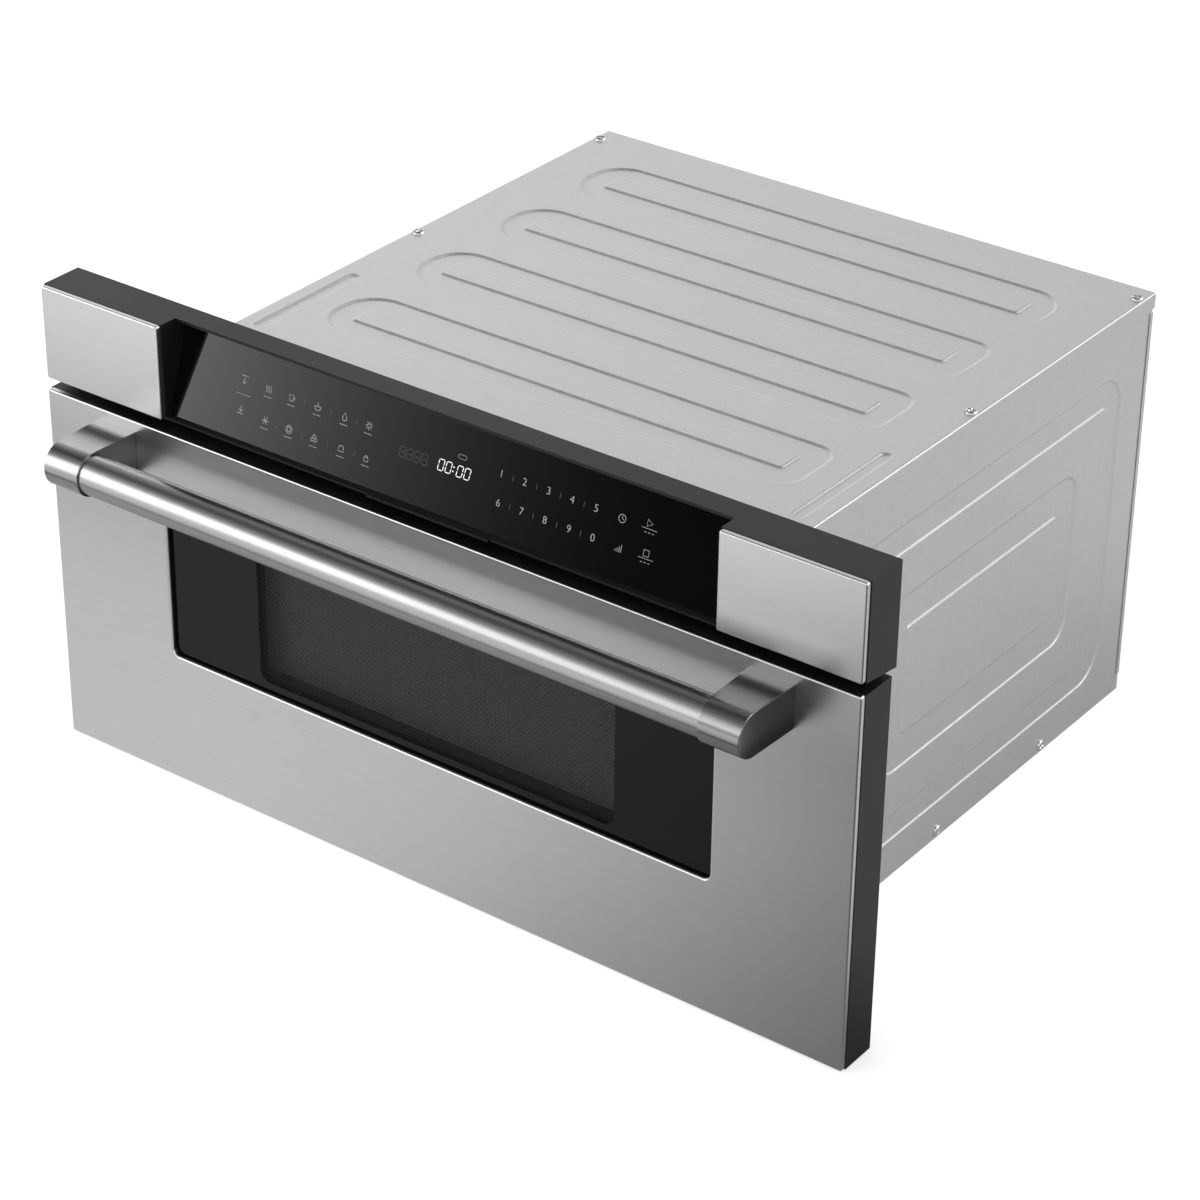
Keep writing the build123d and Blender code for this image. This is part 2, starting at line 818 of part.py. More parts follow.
def stirrer_motor():
    """Small synchronous motor on the waveguide, with the socket that carries the stirrer's shaft."""
    with BuildPart() as motor:
        with BuildSketch(level(stirrer_motor_z)):
            with Locations((0, stirrer_place_y)):
                Circle(stirrer_motor_radius)
            with Locations((-stirrer_ear_x, stirrer_place_y), (stirrer_ear_x, stirrer_place_y)):
                RectangleRounded(*stirrer_ear, stirrer_ear[1] / 3)
        extrude(amount=foot_plate)
        with BuildSketch(level(stirrer_motor_z + foot_plate)):
            with Locations((0, stirrer_place_y)):
                Circle(stirrer_motor_radius)
        extrude(amount=stirrer_motor_height - foot_plate)
        chamfer(motor.faces().sort_by(Axis.Z)[-1].edges(), 1.5)
        with BuildSketch(level(stirrer_motor_z)):
            with Locations((0, stirrer_place_y)):
                Circle(stirrer_shaft / 2 + shaft_fit)
        extrude(amount=stirrer_socket, mode=Mode.SUBTRACT)
    return motor.part


def stirrer():
    """Shaft, hub and four twisted vanes that spread the microwaves under the waveguide."""
    hub_height = 9.0
    vane_width = 26.0
    twist = radians(14)
    with BuildPart() as vanes:
        with BuildSketch(level(stirrer_hub_z)):
            with Locations((0, stirrer_place_y)):
                Circle(9)
        extrude(amount=hub_height)
        with BuildSketch(level(stirrer_hub_z)):
            with Locations((0, stirrer_place_y)):
                Circle(stirrer_shaft / 2)
        extrude(amount=stirrer_motor_z + stirrer_socket - 1 - stirrer_hub_z)
        for turn in range(4):
            angle = radians(90 * turn)
            vane_plane = Plane(
                origin=(0, stirrer_place_y, stirrer_hub_z + hub_height / 2),
                x_dir=(cos(angle), sin(angle), 0),
                z_dir=(-sin(angle) * sin(twist), cos(angle) * sin(twist), cos(twist)),
            )
            with BuildSketch(vane_plane):
                with BuildLine():
                    Polyline(
                        (5, -vane_width / 5),
                        (stirrer_radius, -vane_width / 2),
                        (stirrer_radius, vane_width / 2),
                        (5, vane_width / 5),
                        close=True,
                    )
                make_face()
            extrude(amount=sheet / 2, both=True)
    return vanes.part


def stirrer_cover():
    """Shallow plastic dish under the oven's roof that keeps food off the stirrer."""
    cover_wall = 1.6
    with BuildPart() as cover:
        with BuildSketch(level(cavity_top - stirrer_cover_depth)):
            with Locations((0, stirrer_place_y)):
                Circle(stirrer_cover_radius)
        extrude(amount=stirrer_cover_depth)
        chamfer(cover.faces().sort_by(Axis.Z)[0].edges(), cover_wall)
        with BuildSketch(level(cavity_top - stirrer_cover_depth + cover_wall)):
            with Locations((0, stirrer_place_y)):
                Circle(stirrer_cover_radius - cover_wall)
        extrude(amount=stirrer_cover_depth, mode=Mode.SUBTRACT)
        with BuildSketch(level(cavity_top - cover_wall)):
            with Locations((0, stirrer_place_y)):
                Circle(stirrer_cover_radius + 7)
                Circle(stirrer_cover_radius - cover_wall, mode=Mode.SUBTRACT)
        extrude(amount=cover_wall)
    return cover.part


yoke = 2.0
yoke_margin = 20.0  # how much shorter the yoke's walls are than its mounting plate
cooling_fins = 7
cooling_fin = 0.8
anode_radius = 20.0
filter_box = (62.0, 58.0, 26.0)


def magnetron():
    """Magnetron: yoke, stack of cooling fins, anode, filter box and the antenna in the waveguide."""
    fin_z = guide_z - yoke - magnetron_height
    with BuildPart() as tube:
        with BuildSketch(level(guide_z - yoke)):
            with Locations((0, magnetron_place_y)):
                Rectangle(magnetron_width, magnetron_depth)
                with GridLocations(magnetron_width - 4 * yoke, magnetron_depth - 4 * yoke, 2, 2):
                    Circle(yoke, mode=Mode.SUBTRACT)
        extrude(amount=yoke)
        for wall_side in (-1, 1):
            with BuildSketch(level(guide_z - yoke)):
                with Locations((wall_side * (magnetron_width - yoke) / 2, magnetron_place_y)):
                    Rectangle(yoke, magnetron_depth - yoke_margin)
            extrude(amount=-magnetron_height)
        with BuildSketch(level(fin_z)):
            with Locations((0, magnetron_place_y)):
                Rectangle(magnetron_width, magnetron_depth - yoke_margin)
        extrude(amount=yoke)
        with BuildSketch(level(fin_z)):
            with Locations((0, magnetron_place_y)):
                Circle(anode_radius)
        extrude(amount=magnetron_height)
        fin_pitch = (magnetron_height - 6 * yoke) / cooling_fins
        for layer in range(cooling_fins):
            with BuildSketch(level(fin_z + 4 * yoke + layer * fin_pitch)):
                with Locations((0, magnetron_place_y)):
                    Rectangle(magnetron_width - yoke / 2, magnetron_depth - yoke_margin - 3 * yoke)
            extrude(amount=cooling_fin)
        with BuildSketch(level(fin_z)):
            with Locations((0, magnetron_place_y)):
                RectangleRounded(filter_box[0], filter_box[1], filter_box[0] / 12)
        extrude(amount=-filter_box[2])
        with BuildSketch(level(guide_z)):
            with Locations((0, magnetron_place_y)):
                Circle(antenna_radius)
        extrude(amount=guide_height * 0.66)
        chamfer(tube.faces().sort_by(Axis.Z)[-1].edges(), yoke)
    return tube.part


save(oven_cavity(), "oven_cavity")
save(waveguide(), "waveguide")
save(stirrer_motor(), "stirrer_motor")
save(stirrer(), "stirrer")
save(stirrer_cover(), "stirrer_cover")
save(magnetron(), "magnetron")

# ================================================================ fan, power parts and small electrics
fan_middle_y = back_y - sheet - 52.0
fan_ring_depth = 40.0
fan_wall = 2.5
fan_spoke = 4.0
fan_motor_depth = 26.0
fan_shaft = 6.0
fan_ring_front = fan_middle_y - fan_ring_depth / 2 - 6
fan_wheel_depth = 26.0
fan_motor_back = fan_ring_front


def fan_housing():
    """Duct behind the louvres: square skirt, orifice plate, ring and the spokes that carry the motor."""
    plate_y = fan_middle_y + fan_ring_depth / 2
    with BuildPart() as duct:
        with BuildSketch(facing_front_at(plate_y)):
            with Locations((fan_x, fan_z)):
                RectangleRounded(fan_frame, fan_frame, 5)
                Circle(fan_bore / 2, mode=Mode.SUBTRACT)
        extrude(amount=fan_wall)
        with BuildSketch(facing_front_at(plate_y)):
            with Locations((fan_x, fan_z)):
                RectangleRounded(fan_frame, fan_frame, 5)
                RectangleRounded(fan_frame - 2 * fan_wall, fan_frame - 2 * fan_wall, 3, mode=Mode.SUBTRACT)
        extrude(amount=-(back_y - sheet - plate_y))
        with BuildSketch(facing_front_at(fan_ring_front)):
            with Locations((fan_x, fan_z)):
                Circle(fan_bore / 2 + fan_wall)
                Circle(fan_bore / 2, mode=Mode.SUBTRACT)
        extrude(amount=-(plate_y - fan_ring_front))
        with BuildSketch(facing_front_at(fan_ring_front)):
            with Locations((fan_x, fan_z)):
                Circle(fan_hub / 2 + 3)
                with PolarLocations(fan_bore / 4, 3, start_angle=90):
                    Rectangle(fan_bore / 2 + fan_wall, fan_spoke * 2)
                Circle(fan_shaft, mode=Mode.SUBTRACT)
        extrude(amount=-fan_spoke)
    return duct.part


def fan_motor():
    """Shaded-pole motor in front of the spokes, with its laminations, coil and bearing plate."""
    with BuildPart() as motor:
        with BuildSketch(facing_front_at(fan_motor_back)):
            with Locations((fan_x, fan_z)):
                RectangleRounded(46, 46, 3)
        extrude(amount=fan_motor_depth * 0.6)
        with BuildSketch(facing_front_at(fan_motor_back)):
            with Locations((fan_x, fan_z - 30)):
                RectangleRounded(34, 26, 5)
        extrude(amount=fan_motor_depth)
        with BuildSketch(facing_front_at(fan_motor_back)):
            with Locations((fan_x, fan_z)):
                Circle(10)
        extrude(amount=fan_motor_depth * 0.8)
        with BuildSketch(facing_front_at(fan_motor_back)):
            with Locations((fan_x, fan_z)):
                Circle(fan_shaft / 2 + shaft_fit)
        extrude(amount=fan_motor_depth * 0.7, mode=Mode.SUBTRACT)
    return motor.part


def fan_wheel():
    """Axial wheel: hub, shaft and twisted blades lofted from root to tip."""
    blade_tip = fan_bore / 2 - fan_tip_gap
    wheel_front = fan_ring_front + fan_spoke + 4
    hub_middle = wheel_front + fan_wheel_depth / 2
    with BuildPart() as wheel:
        with BuildSketch(facing_front_at(wheel_front + fan_wheel_depth)):
            with Locations((fan_x, fan_z)):
                Circle(fan_hub / 2)
        extrude(amount=fan_wheel_depth)
        chamfer(wheel.faces().sort_by(Axis.Y)[-1].edges(), 3)
        with BuildSketch(facing_front_at(wheel_front)):
            with Locations((fan_x, fan_z)):
                Circle(fan_shaft / 2)
        extrude(amount=wheel_front - fan_motor_back + fan_motor_depth * 0.6)
        for blade in range(fan_blades):
            angle = radians(360 / fan_blades * blade)
            outward = (cos(angle), 0, sin(angle))
            around = (-sin(angle), 0, cos(angle))
            sections = ((fan_hub / 2 - 3, 48, 20.0), (blade_tip, 26, 30.0))
            for radius, pitch, chord in sections:
                lean = radians(pitch)
                chord_dir = (around[0] * cos(lean), sin(lean), around[2] * cos(lean))
                place = Plane(
                    origin=(fan_x + radius * outward[0], hub_middle, fan_z + radius * outward[2]),
                    x_dir=chord_dir,
                    z_dir=outward,
                )
                with BuildSketch(place):
                    Rectangle(chord, 1.8)
            loft(ruled=True)
    return wheel.part


def high_voltage_transformer():
    """Transformer at the back right: laminated core with welded feet and two coils."""
    middle = (core_x, back_y - sheet - core_back_gap)
    with BuildPart() as transformer:
        with BuildSketch(level(base_sheet)):
            with Locations(middle):
                Rectangle(core_width + 2 * core_foot, core_depth - core_foot)
                with GridLocations(core_width + core_foot, core_depth - 3 * core_foot, 2, 2):
                    Circle(foot_hole / 2, mode=Mode.SUBTRACT)
        extrude(amount=foot_plate)
        with BuildSketch(level(base_sheet + foot_plate)):
            with Locations(middle):
                Rectangle(core_width, core_depth)
        extrude(amount=core_height)
        with BuildSketch(level(base_sheet + foot_plate + coil_lift)):
            with Locations(middle):
                RectangleRounded(coil_width, coil_depth, coil_depth / 7)
        extrude(amount=coil_height)
        fillet(transformer.faces().sort_by(Axis.Z)[-1].edges(), 0.75 * foot_plate)
    return transformer.part


def capacitor():
    """High-voltage capacitor: an oval can with two blades, standing on the base pan."""
    middle = (can_x, back_y - sheet - can_back_gap)
    with BuildPart() as can:
        with BuildSketch(level(base_sheet)):
            with Locations(middle):
                SlotOverall(can_length, can_breadth)
                Rectangle(can_length + 2 * can_tab, can_tab)
        extrude(amount=foot_plate)
        with BuildSketch(level(base_sheet + foot_plate)):
            with Locations(middle):
                SlotOverall(can_length, can_breadth)
        extrude(amount=can_height)
        chamfer(can.faces().sort_by(Axis.Z)[-1].edges(), 0.75 * foot_plate)
        with BuildSketch(level(base_sheet + foot_plate + can_height)):
            with Locations(middle):
                with GridLocations(blade_spacing, 0, 2, 1):
                    Rectangle(blade_width, sheet)
        extrude(amount=blade_height)
    return can.part


def line_filter():
    """Mains filter board on the back panel, near the gland."""
    middle = (filter_x, cabinet_height - filter_drop)
    front_of_back = back_y - sheet
    with BuildPart() as board:
        with BuildSketch(facing_front_at(front_of_back)):
            with Locations(middle):
                with GridLocations(filter_width - 10, filter_height - 10, 2, 2):
                    Circle(filter_standoff / 2)
        extrude(amount=filter_standoff)
        with BuildSketch(facing_front_at(front_of_back - filter_standoff)):
            with Locations(middle):
                RectangleRounded(filter_width, filter_height, 2)
        extrude(amount=board_thickness)
        with BuildSketch(facing_front_at(front_of_back - filter_standoff - board_thickness)):
            with Locations((filter_x - filter_width / 4, middle[1])):
                Circle(choke_ring / 2)
                Circle(choke_ring / 4, mode=Mode.SUBTRACT)
            with Locations((filter_x + filter_width / 4, middle[1])):
                RectangleRounded(filter_width / 4, choke_ring, 2)
        extrude(amount=filter_parts)
    return board.part


def air_duct():
    """Folded sheet duct from the fan's chamber across the magnetron's fins."""
    duct_start = fan_x + fan_frame / 2
    duct_end = -magnetron_width / 2
    duct_bottom = guide_z - 2 - magnetron_height
    with BuildPart() as duct:
        with BuildSketch(facing_right(duct_start)):
            with Locations((magnetron_place_y, duct_bottom + magnetron_height / 2)):
                Rectangle(magnetron_depth - 12, magnetron_height)
                Rectangle(magnetron_depth - 12 - 2 * sheet, magnetron_height - 2 * sheet, mode=Mode.SUBTRACT)
        extrude(amount=duct_end - duct_start)
    return duct.part


def cavity_lamp():
    """Lamp holder with its bulb on the outside of the oven's right wall."""
    wall_x = cavity_width / 2 + cavity_sheet
    place = (cavity_back - fitting_back, cavity_top - fitting_drop)
    with BuildPart() as lamp:
        with BuildSketch(facing_right(wall_x)):
            with Locations(place):
                RectangleRounded(lamp_width, lamp_height, 3)
        extrude(amount=lamp_depth)
        with BuildSketch(facing_right(wall_x + lamp_depth)):
            with Locations(place):
                Circle(bulb_diameter / 2)
        extrude(amount=lamp_depth)
        chamfer(lamp.faces().sort_by(Axis.X)[-1].edges(), bulb_diameter / 10)
    return lamp.part


def thermal_cutouts():
    """Two disc thermostats: one on the oven's left wall, one on its roof."""
    wall_x = -cavity_width / 2 - cavity_sheet
    with BuildPart() as cutouts:
        with BuildSketch(facing_right(wall_x)):
            with Locations((cavity_back - fitting_back, cavity_top - fitting_drop)):
                Circle(cutout_diameter / 2)
        extrude(amount=-cutout_height)
        with BuildSketch(level(guide_z)):
            with Locations((-guide_width - cutout_diameter, cavity_back - fitting_back)):
                Circle(cutout_diameter / 2)
        extrude(amount=cutout_height)
    return cutouts.part


def power_gland():
    """Strain relief in the back panel: outer collar, waist in the panel's hole and inner nut."""
    with BuildPart() as gland:
        with BuildSketch(facing_front_at(back_y)):
            with Locations(gland_place):
                Circle(gland_collar / 2)
        extrude(amount=-gland_reach)
        chamfer(gland.faces().sort_by(Axis.Y)[-1].edges(), 2.5)
        with BuildSketch(facing_front_at(back_y)):
            with Locations(gland_place):
                Circle(gland_hole / 2 - part_gap / 2)
        extrude(amount=sheet + 12)
        with BuildSketch(facing_front_at(back_y - sheet)):
            with Locations(gland_place):
                RegularPolygon(gland_collar / 2, 6)
        extrude(amount=6)
        with BuildSketch(facing_front_at(back_y + gland_reach)):
            with Locations(gland_place):
                Circle(gland_bore / 2)
        extrude(amount=gland_reach + sheet + 12, mode=Mode.SUBTRACT)
    return gland.part


save(fan_housing(), "fan_housing")
save(fan_motor(), "fan_motor")
save(fan_wheel(), "fan_wheel")
save(high_voltage_transformer(), "high_voltage_transformer")
save(capacitor(), "capacitor")
save(line_filter(), "line_filter")
save(air_duct(), "air_duct")
save(cavity_lamp(), "cavity_lamp")
save(thermal_cutouts(), "thermal_cutouts")
save(power_gland(), "power_gland")

# ================================================================ door
door_z = (door_bottom + door_top) / 2
back_of_door = front_y + door_depth
bracket_x = bracket_outer / 2 - bracket_width / 2
frame_rebate = window_glass_size
choke_width = cavity_width + 2 * choke_margin
choke_height = cavity_height + 2 * choke_margin - 2
choke_z = mouth_z - 1
choke_front = screen_depth + screen_sheet
pocket_columns = (front_width - choke_width) / 2 - 2 * moulding_wall
column_x = (front_width + choke_width) / 4
low_row_top = choke_z - choke_height / 2 - moulding_wall
low_row_bottom = door_bottom + moulding_wall


def door_skin():
    """Steel face of the door: one shallow pan with rounded edges and a turned-in window opening."""
    with BuildPart() as pan:
        with BuildSketch(facing_front(0)):
            with Locations((0, door_z)):
                RectangleRounded(front_width - 1, door_height, tile_corner)
        extrude(amount=steel_proud)
        fillet(pan.faces().sort_by(Axis.Y)[0].edges(), steel_edge)
        with BuildSketch(facing_front(-steel_proud)):
            with Locations((0, window_z)):
                RectangleRounded(window_width, window_height, window_corner)
        extrude(amount=-steel_proud, mode=Mode.SUBTRACT)
        with BuildSketch(facing_front(0)):
            with Locations((0, door_z)):
                Rectangle(front_width - 1 - 2 * skin, door_height - 2 * skin)
            with Locations((0, window_z)):
                RectangleRounded(
                    window_width + 2 * skin,
                    window_height + 2 * skin,
                    window_corner + skin,
                    mode=Mode.SUBTRACT,
                )
        extrude(amount=steel_proud - skin, mode=Mode.SUBTRACT)
        # holes for the handle's screws
        with BuildSketch(facing_front(-steel_proud)):
            with Locations((-bracket_x, handle_z), (bracket_x, handle_z)):
                Circle(handle_screw / 2 + part_gap)
        extrude(amount=-steel_proud, mode=Mode.SUBTRACT)
    return pan.part


def door_frame():
    """Black moulding of the door: pads for the steel, rebate for the glass, ribs and pockets behind."""
    with BuildPart() as frame:
        with BuildSketch(facing_front(door_depth)):
            with Locations((0, door_z)):
                Rectangle(front_width, door_height)
        extrude(amount=door_depth)
        with BuildSketch(facing_front(0)):
            with Locations((0, door_z)):
                Rectangle(front_width - 1 - 2 * skin - 2 * part_gap, door_height - 2 * skin - 2 * part_gap)
            with Locations((0, window_z)):
                RectangleRounded(
                    window_width + 2 * skin + 2 * part_gap,
                    window_height + 2 * skin + 2 * part_gap,
                    window_corner + skin,
                    mode=Mode.SUBTRACT,
                )
        extrude(amount=steel_proud - skin)
        # rebate for the glass, then the duct of the window
        with BuildSketch(facing_front(0)):
            with Locations((0, window_z)):
                Rectangle(
                    window_width + 2 * glass_rebate + 2 * part_gap,
                    window_height + 2 * glass_rebate + 2 * part_gap,
                )
        extrude(amount=-frame_rebate, mode=Mode.SUBTRACT)
        with BuildSketch(facing_front(0)):
            with Locations((0, window_z)):
                Rectangle(screen_width + 2 * glass_rebate, screen_height + 2 * glass_rebate)
        extrude(amount=-door_depth, mode=Mode.SUBTRACT)
        # seat of the choke panel, and of the screen in front of it
        with BuildSketch(facing_front(door_depth)):
            with Locations((0, choke_z)):
                Rectangle(choke_width + 2 * part_gap, choke_height + 2 * part_gap)
        extrude(amount=door_depth - choke_front, mode=Mode.SUBTRACT)
        with BuildSketch(facing_front(choke_front)):
            with Locations((0, window_z)):
                Rectangle(screen_width + 4 * glass_rebate, screen_height + 4 * glass_rebate)
        extrude(amount=screen_sheet, mode=Mode.SUBTRACT)
        # pockets between the ribs: two columns of three, and a row under the window
        column_pitch = (door_height - moulding_wall) / 3
        with BuildSketch(facing_front(door_depth)):
            with Locations((-column_x, door_z), (column_x, door_z)):
                with GridLocations(0, column_pitch, 1, 3):
                    Rectangle(pocket_columns, column_pitch - moulding_wall)
            with Locations((0, (low_row_bottom + low_row_top) / 2)):
                with GridLocations(choke_width / 4, 0, 4, 1):
                    Rectangle(choke_width / 4 - moulding_wall, low_row_top - low_row_bottom)
        extrude(amount=door_depth - moulding_wall, mode=Mode.SUBTRACT)
        # holes for the handle's screws
        with BuildSketch(facing_front(door_depth)):
            with Locations((-bracket_x, handle_z), (bracket_x, handle_z)):
                Circle(handle_screw / 2 + part_gap)
        extrude(amount=door_depth + steel_proud, mode=Mode.SUBTRACT)
    return frame.part


def window_glass():
    """Dark outer glass in the rebate, its face behind the turned-in edge of the steel."""
    with BuildPart() as glass:
        with BuildSketch(facing_front(frame_rebate)):
            with Locations((0, window_z)):
                Rectangle(window_width + 2 * glass_rebate, window_height + 2 * glass_rebate)
        extrude(amount=window_glass_size)
    return glass.part


def window_screen():
    """Metal screen behind the glass, seated between the frame and the choke panel."""
    with BuildPart() as screen:
        with BuildSketch(facing_front(choke_front)):
            with Locations((0, window_z)):
                RectangleRounded(
                    screen_width + 4 * glass_rebate - 2 * part_gap,
                    screen_height + 4 * glass_rebate - 2 * part_gap,
                    2,
                )
        extrude(amount=screen_sheet)
    return screen.part


choke_depth = door_depth - choke_front
choke_slot = 4.0


def choke_panel():
    """Pressed inner panel: window duct, folded rim, and the slotted lip that stops leaking microwaves."""
    lip = choke_margin - 2
    with BuildPart() as panel:
        with BuildSketch(facing_front(door_depth)):
            with Locations((0, choke_z)):
                Rectangle(choke_width, choke_height)
        extrude(amount=choke_depth)
        with BuildSketch(facing_front(door_depth)):
            with Locations((0, choke_z)):
                Rectangle(choke_width - 2 * choke_sheet, choke_height - 2 * choke_sheet)
            with Locations((0, window_z)):
                Rectangle(screen_width + 2 * choke_sheet, screen_height + 2 * choke_sheet, mode=Mode.SUBTRACT)
        extrude(amount=choke_depth - choke_sheet, mode=Mode.SUBTRACT)
        with BuildSketch(facing_front(door_depth)):
            with Locations((0, choke_z)):
                Rectangle(choke_width, choke_height)
                Rectangle(choke_width - 2 * lip, choke_height - 2 * lip, mode=Mode.SUBTRACT)
            with Locations((0, choke_z)):
                with GridLocations(choke_width / 12, choke_height - lip, 11, 2):
                    Rectangle(choke_slot, lip, mode=Mode.SUBTRACT)
                with GridLocations(choke_width - lip, choke_height / 6, 2, 5):
                    Rectangle(lip, choke_slot, mode=Mode.SUBTRACT)
        extrude(amount=choke_sheet)
        with BuildSketch(facing_front(door_depth)):
            with Locations((0, window_z)):
                Rectangle(screen_width, screen_height)
        extrude(amount=choke_depth, mode=Mode.SUBTRACT)
    return panel.part


def inner_window():
    """Clear inner pane in the window duct, flush with the door's inner face."""
    with BuildPart() as pane:
        with BuildSketch(facing_front(door_depth)):
            with Locations((0, window_z)):
                Rectangle(screen_width - 2 * part_gap, screen_height - 2 * part_gap)
        extrude(amount=3)
    return pane.part


seal_depth = bezel_depth - door_depth - fit_gap


def door_seal():
    """Soft seal round the oven's mouth, on the choke panel's lip."""
    inner = (cavity_width + 2, cavity_height + 2)
    with BuildPart() as seal:
        with BuildSketch(facing_front(door_depth)):
            with Locations((0, mouth_z)):
                RectangleRounded(inner[0] + 2 * seal_width, inner[1] + 2 * seal_width, 12)
                RectangleRounded(*inner, 5, mode=Mode.SUBTRACT)
        extrude(amount=-seal_depth)
        chamfer(seal.faces().sort_by(Axis.Y)[-1].edges(), 1.2)
    return seal.part


# ================================================================ handle
bar_socket = 7.0
bracket_foot_y = front_y - steel_proud
bar_length = bracket_outer - 2 * bracket_width + 2 * bar_socket


def handle_bracket(side):
    """Bracket of the handle: flat top and bottom, round nose, sides that draw in towards the nose."""
    outer_x = side * bracket_outer / 2
    inner_face = side * (bracket_outer / 2 - bracket_width)
    nose_y = handle_y - bracket_diameter / 2
    with BuildPart() as bracket:
        with BuildSketch(facing_right(inner_face)):
            with Locations((handle_y, handle_z)):
                Circle(bracket_diameter / 2)
            with Locations(((handle_y + bracket_foot_y) / 2, handle_z)):
                Rectangle(bracket_foot_y - handle_y, bracket_diameter)
        extrude(amount=side * bracket_width)
        with BuildSketch(level(handle_z - bracket_diameter)):
            with BuildLine():
                Polyline(
                    (inner_face, bracket_foot_y),
                    (outer_x, bracket_foot_y),
                    (outer_x - side * bracket_taper, nose_y),
                    (inner_face + side * bracket_taper, nose_y),
                    close=True,
                )
            make_face()
        extrude(amount=2 * bracket_diameter, mode=Mode.INTERSECT)
        ends = bracket.faces().sort_by(Axis.X)
        fillet((ends[0].edges() + ends[-1].edges()), 0.7)
        with BuildSketch(facing_right(inner_face)):
            with Locations((handle_y, handle_z)):
                Circle(handle_bar_diameter / 2 + part_gap / 2)
        extrude(amount=side * (bar_socket + part_gap), mode=Mode.SUBTRACT)
        with BuildSketch(facing_front(-steel_proud)):
            with Locations((side * bracket_x, handle_z)):
                Circle(handle_screw / 2 + part_gap / 2)
        extrude(amount=bracket_foot_y - handle_y - 4, mode=Mode.SUBTRACT)
    return bracket.part


def handle_bar():
    """Round steel tube between the brackets, its ends in their sockets."""
    with BuildPart() as bar:
        with BuildSketch(facing_right(-bar_length / 2)):
            with Locations((handle_y, handle_z)):
                Circle(handle_bar_diameter / 2)
                Circle(handle_bar_diameter / 2 - 1.5, mode=Mode.SUBTRACT)
        extrude(amount=bar_length)
    return bar.part


def handle_screws():
    """Two screws from inside the door into the brackets."""
    grip = moulding_wall + steel_proud
    with BuildPart() as screws:
        with BuildSketch(facing_front(moulding_wall)):
            with Locations((-bracket_x, handle_z), (bracket_x, handle_z)):
                Circle(handle_screw)
        extrude(amount=-handle_screw * 0.6)
        with BuildSketch(facing_front(moulding_wall)):
            with Locations((-bracket_x, handle_z), (bracket_x, handle_z)):
                Circle(handle_screw / 2)
        extrude(amount=grip + 20)
    return screws.part


save(door_skin(), "door_skin")
save(door_frame(), "door_frame")
save(window_glass(), "window_glass")
save(window_screen(), "window_screen")
save(choke_panel(), "choke_panel")
save(inner_window(), "inner_window")
save(door_seal(), "door_seal")
save(handle_bar(), "handle_bar")
save(handle_bracket(-1), "handle_bracket_left")
save(handle_bracket(1), "handle_bracket_right")
save(handle_screws(), "handle_screws")

# ================================================================ drawer
drawer_width = cavity_width - 2 * drawer_side_gap
drawer_bottom = cavity_lift + drawer_floor_gap
drawer_length = cabinet_y + cavity_depth - drawer_back_gap - back_of_door


def drawer_body():
    """Walls and floor of the drawer: rounded corners, rolled rim, and an opening towards the window."""
    middle_y = back_of_door + drawer_length / 2
    inner_width = drawer_width - 2 * drawer_wall
    inner_length = drawer_length - 2 * drawer_wall
    inner_corner = drawer_corner - drawer_wall
    with BuildPart() as body:
        with BuildSketch(level(drawer_bottom)):
            with Locations((0, middle_y)):
                Rectangle(drawer_width, drawer_length)
        extrude(amount=drawer_height)
        back_corners = body.edges().filter_by(Axis.Z).group_by(Axis.Y)[-1]
        fillet(back_corners, drawer_corner)
        fillet(body.faces().sort_by(Axis.Z)[0].edges().group_by(Axis.Y)[1:], 7)
        with BuildSketch(level(drawer_bottom + drawer_wall)):
            with Locations((0, middle_y)):
                RectangleRounded(inner_width, inner_length, inner_corner)
        extrude(amount=drawer_height, mode=Mode.SUBTRACT)
        with BuildSketch(level(drawer_bottom + drawer_height)):
            with Locations((0, middle_y)):
                RectangleRounded(drawer_width + 2 * drawer_rim, drawer_length, drawer_corner)
                RectangleRounded(inner_width, inner_length, inner_corner, mode=Mode.SUBTRACT)
        extrude(amount=-drawer_wall)
        with BuildSketch(facing_front(door_depth)):
            with Locations((0, window_z)):
                RectangleRounded(screen_width, screen_height - 6, 8)
        extrude(amount=-drawer_corner, mode=Mode.SUBTRACT)
    return body.part


def tray():
    """Ceramic plate on the drawer's floor, its middle slightly dished."""
    width = drawer_width - 2 * tray_margin
    length = drawer_length - 2 * tray_margin
    with BuildPart() as plate:
        with BuildSketch(level(drawer_bottom + drawer_wall)):
            with Locations((0, back_of_door + drawer_length / 2)):
                RectangleRounded(width, length, drawer_corner)
        extrude(amount=tray_plate)
        fillet(plate.faces().sort_by(Axis.Z)[-1].edges(), 1.5)
        with BuildSketch(level(drawer_bottom + drawer_wall + tray_plate)):
            with Locations((0, back_of_door + drawer_length / 2)):
                RectangleRounded(width - 20, length - 20, drawer_corner - 8)
        extrude(amount=-tray_dish, taper=20, mode=Mode.SUBTRACT)
    return plate.part


save(drawer_body(), "drawer_body")
save(tray(), "tray")

# ================================================================ slides
rail_back_x = inner_x - rail_standoff
rail_front = cabinet_y + 2.5
ball_lane = (rail_height - 2 * rail_sheet - rail_mid_height) / 2
inner_lane = (rail_mid_height - 2 * rail_sheet - rail_inner_height) / 2
mid_length = rail_length - 20
inner_front = back_of_door + flange_sheet
inner_length = rail_length - 20
inner_web_x = rail_back_x - rail_width - rail_sheet / 2  # face that the drawer's brackets are screwed to


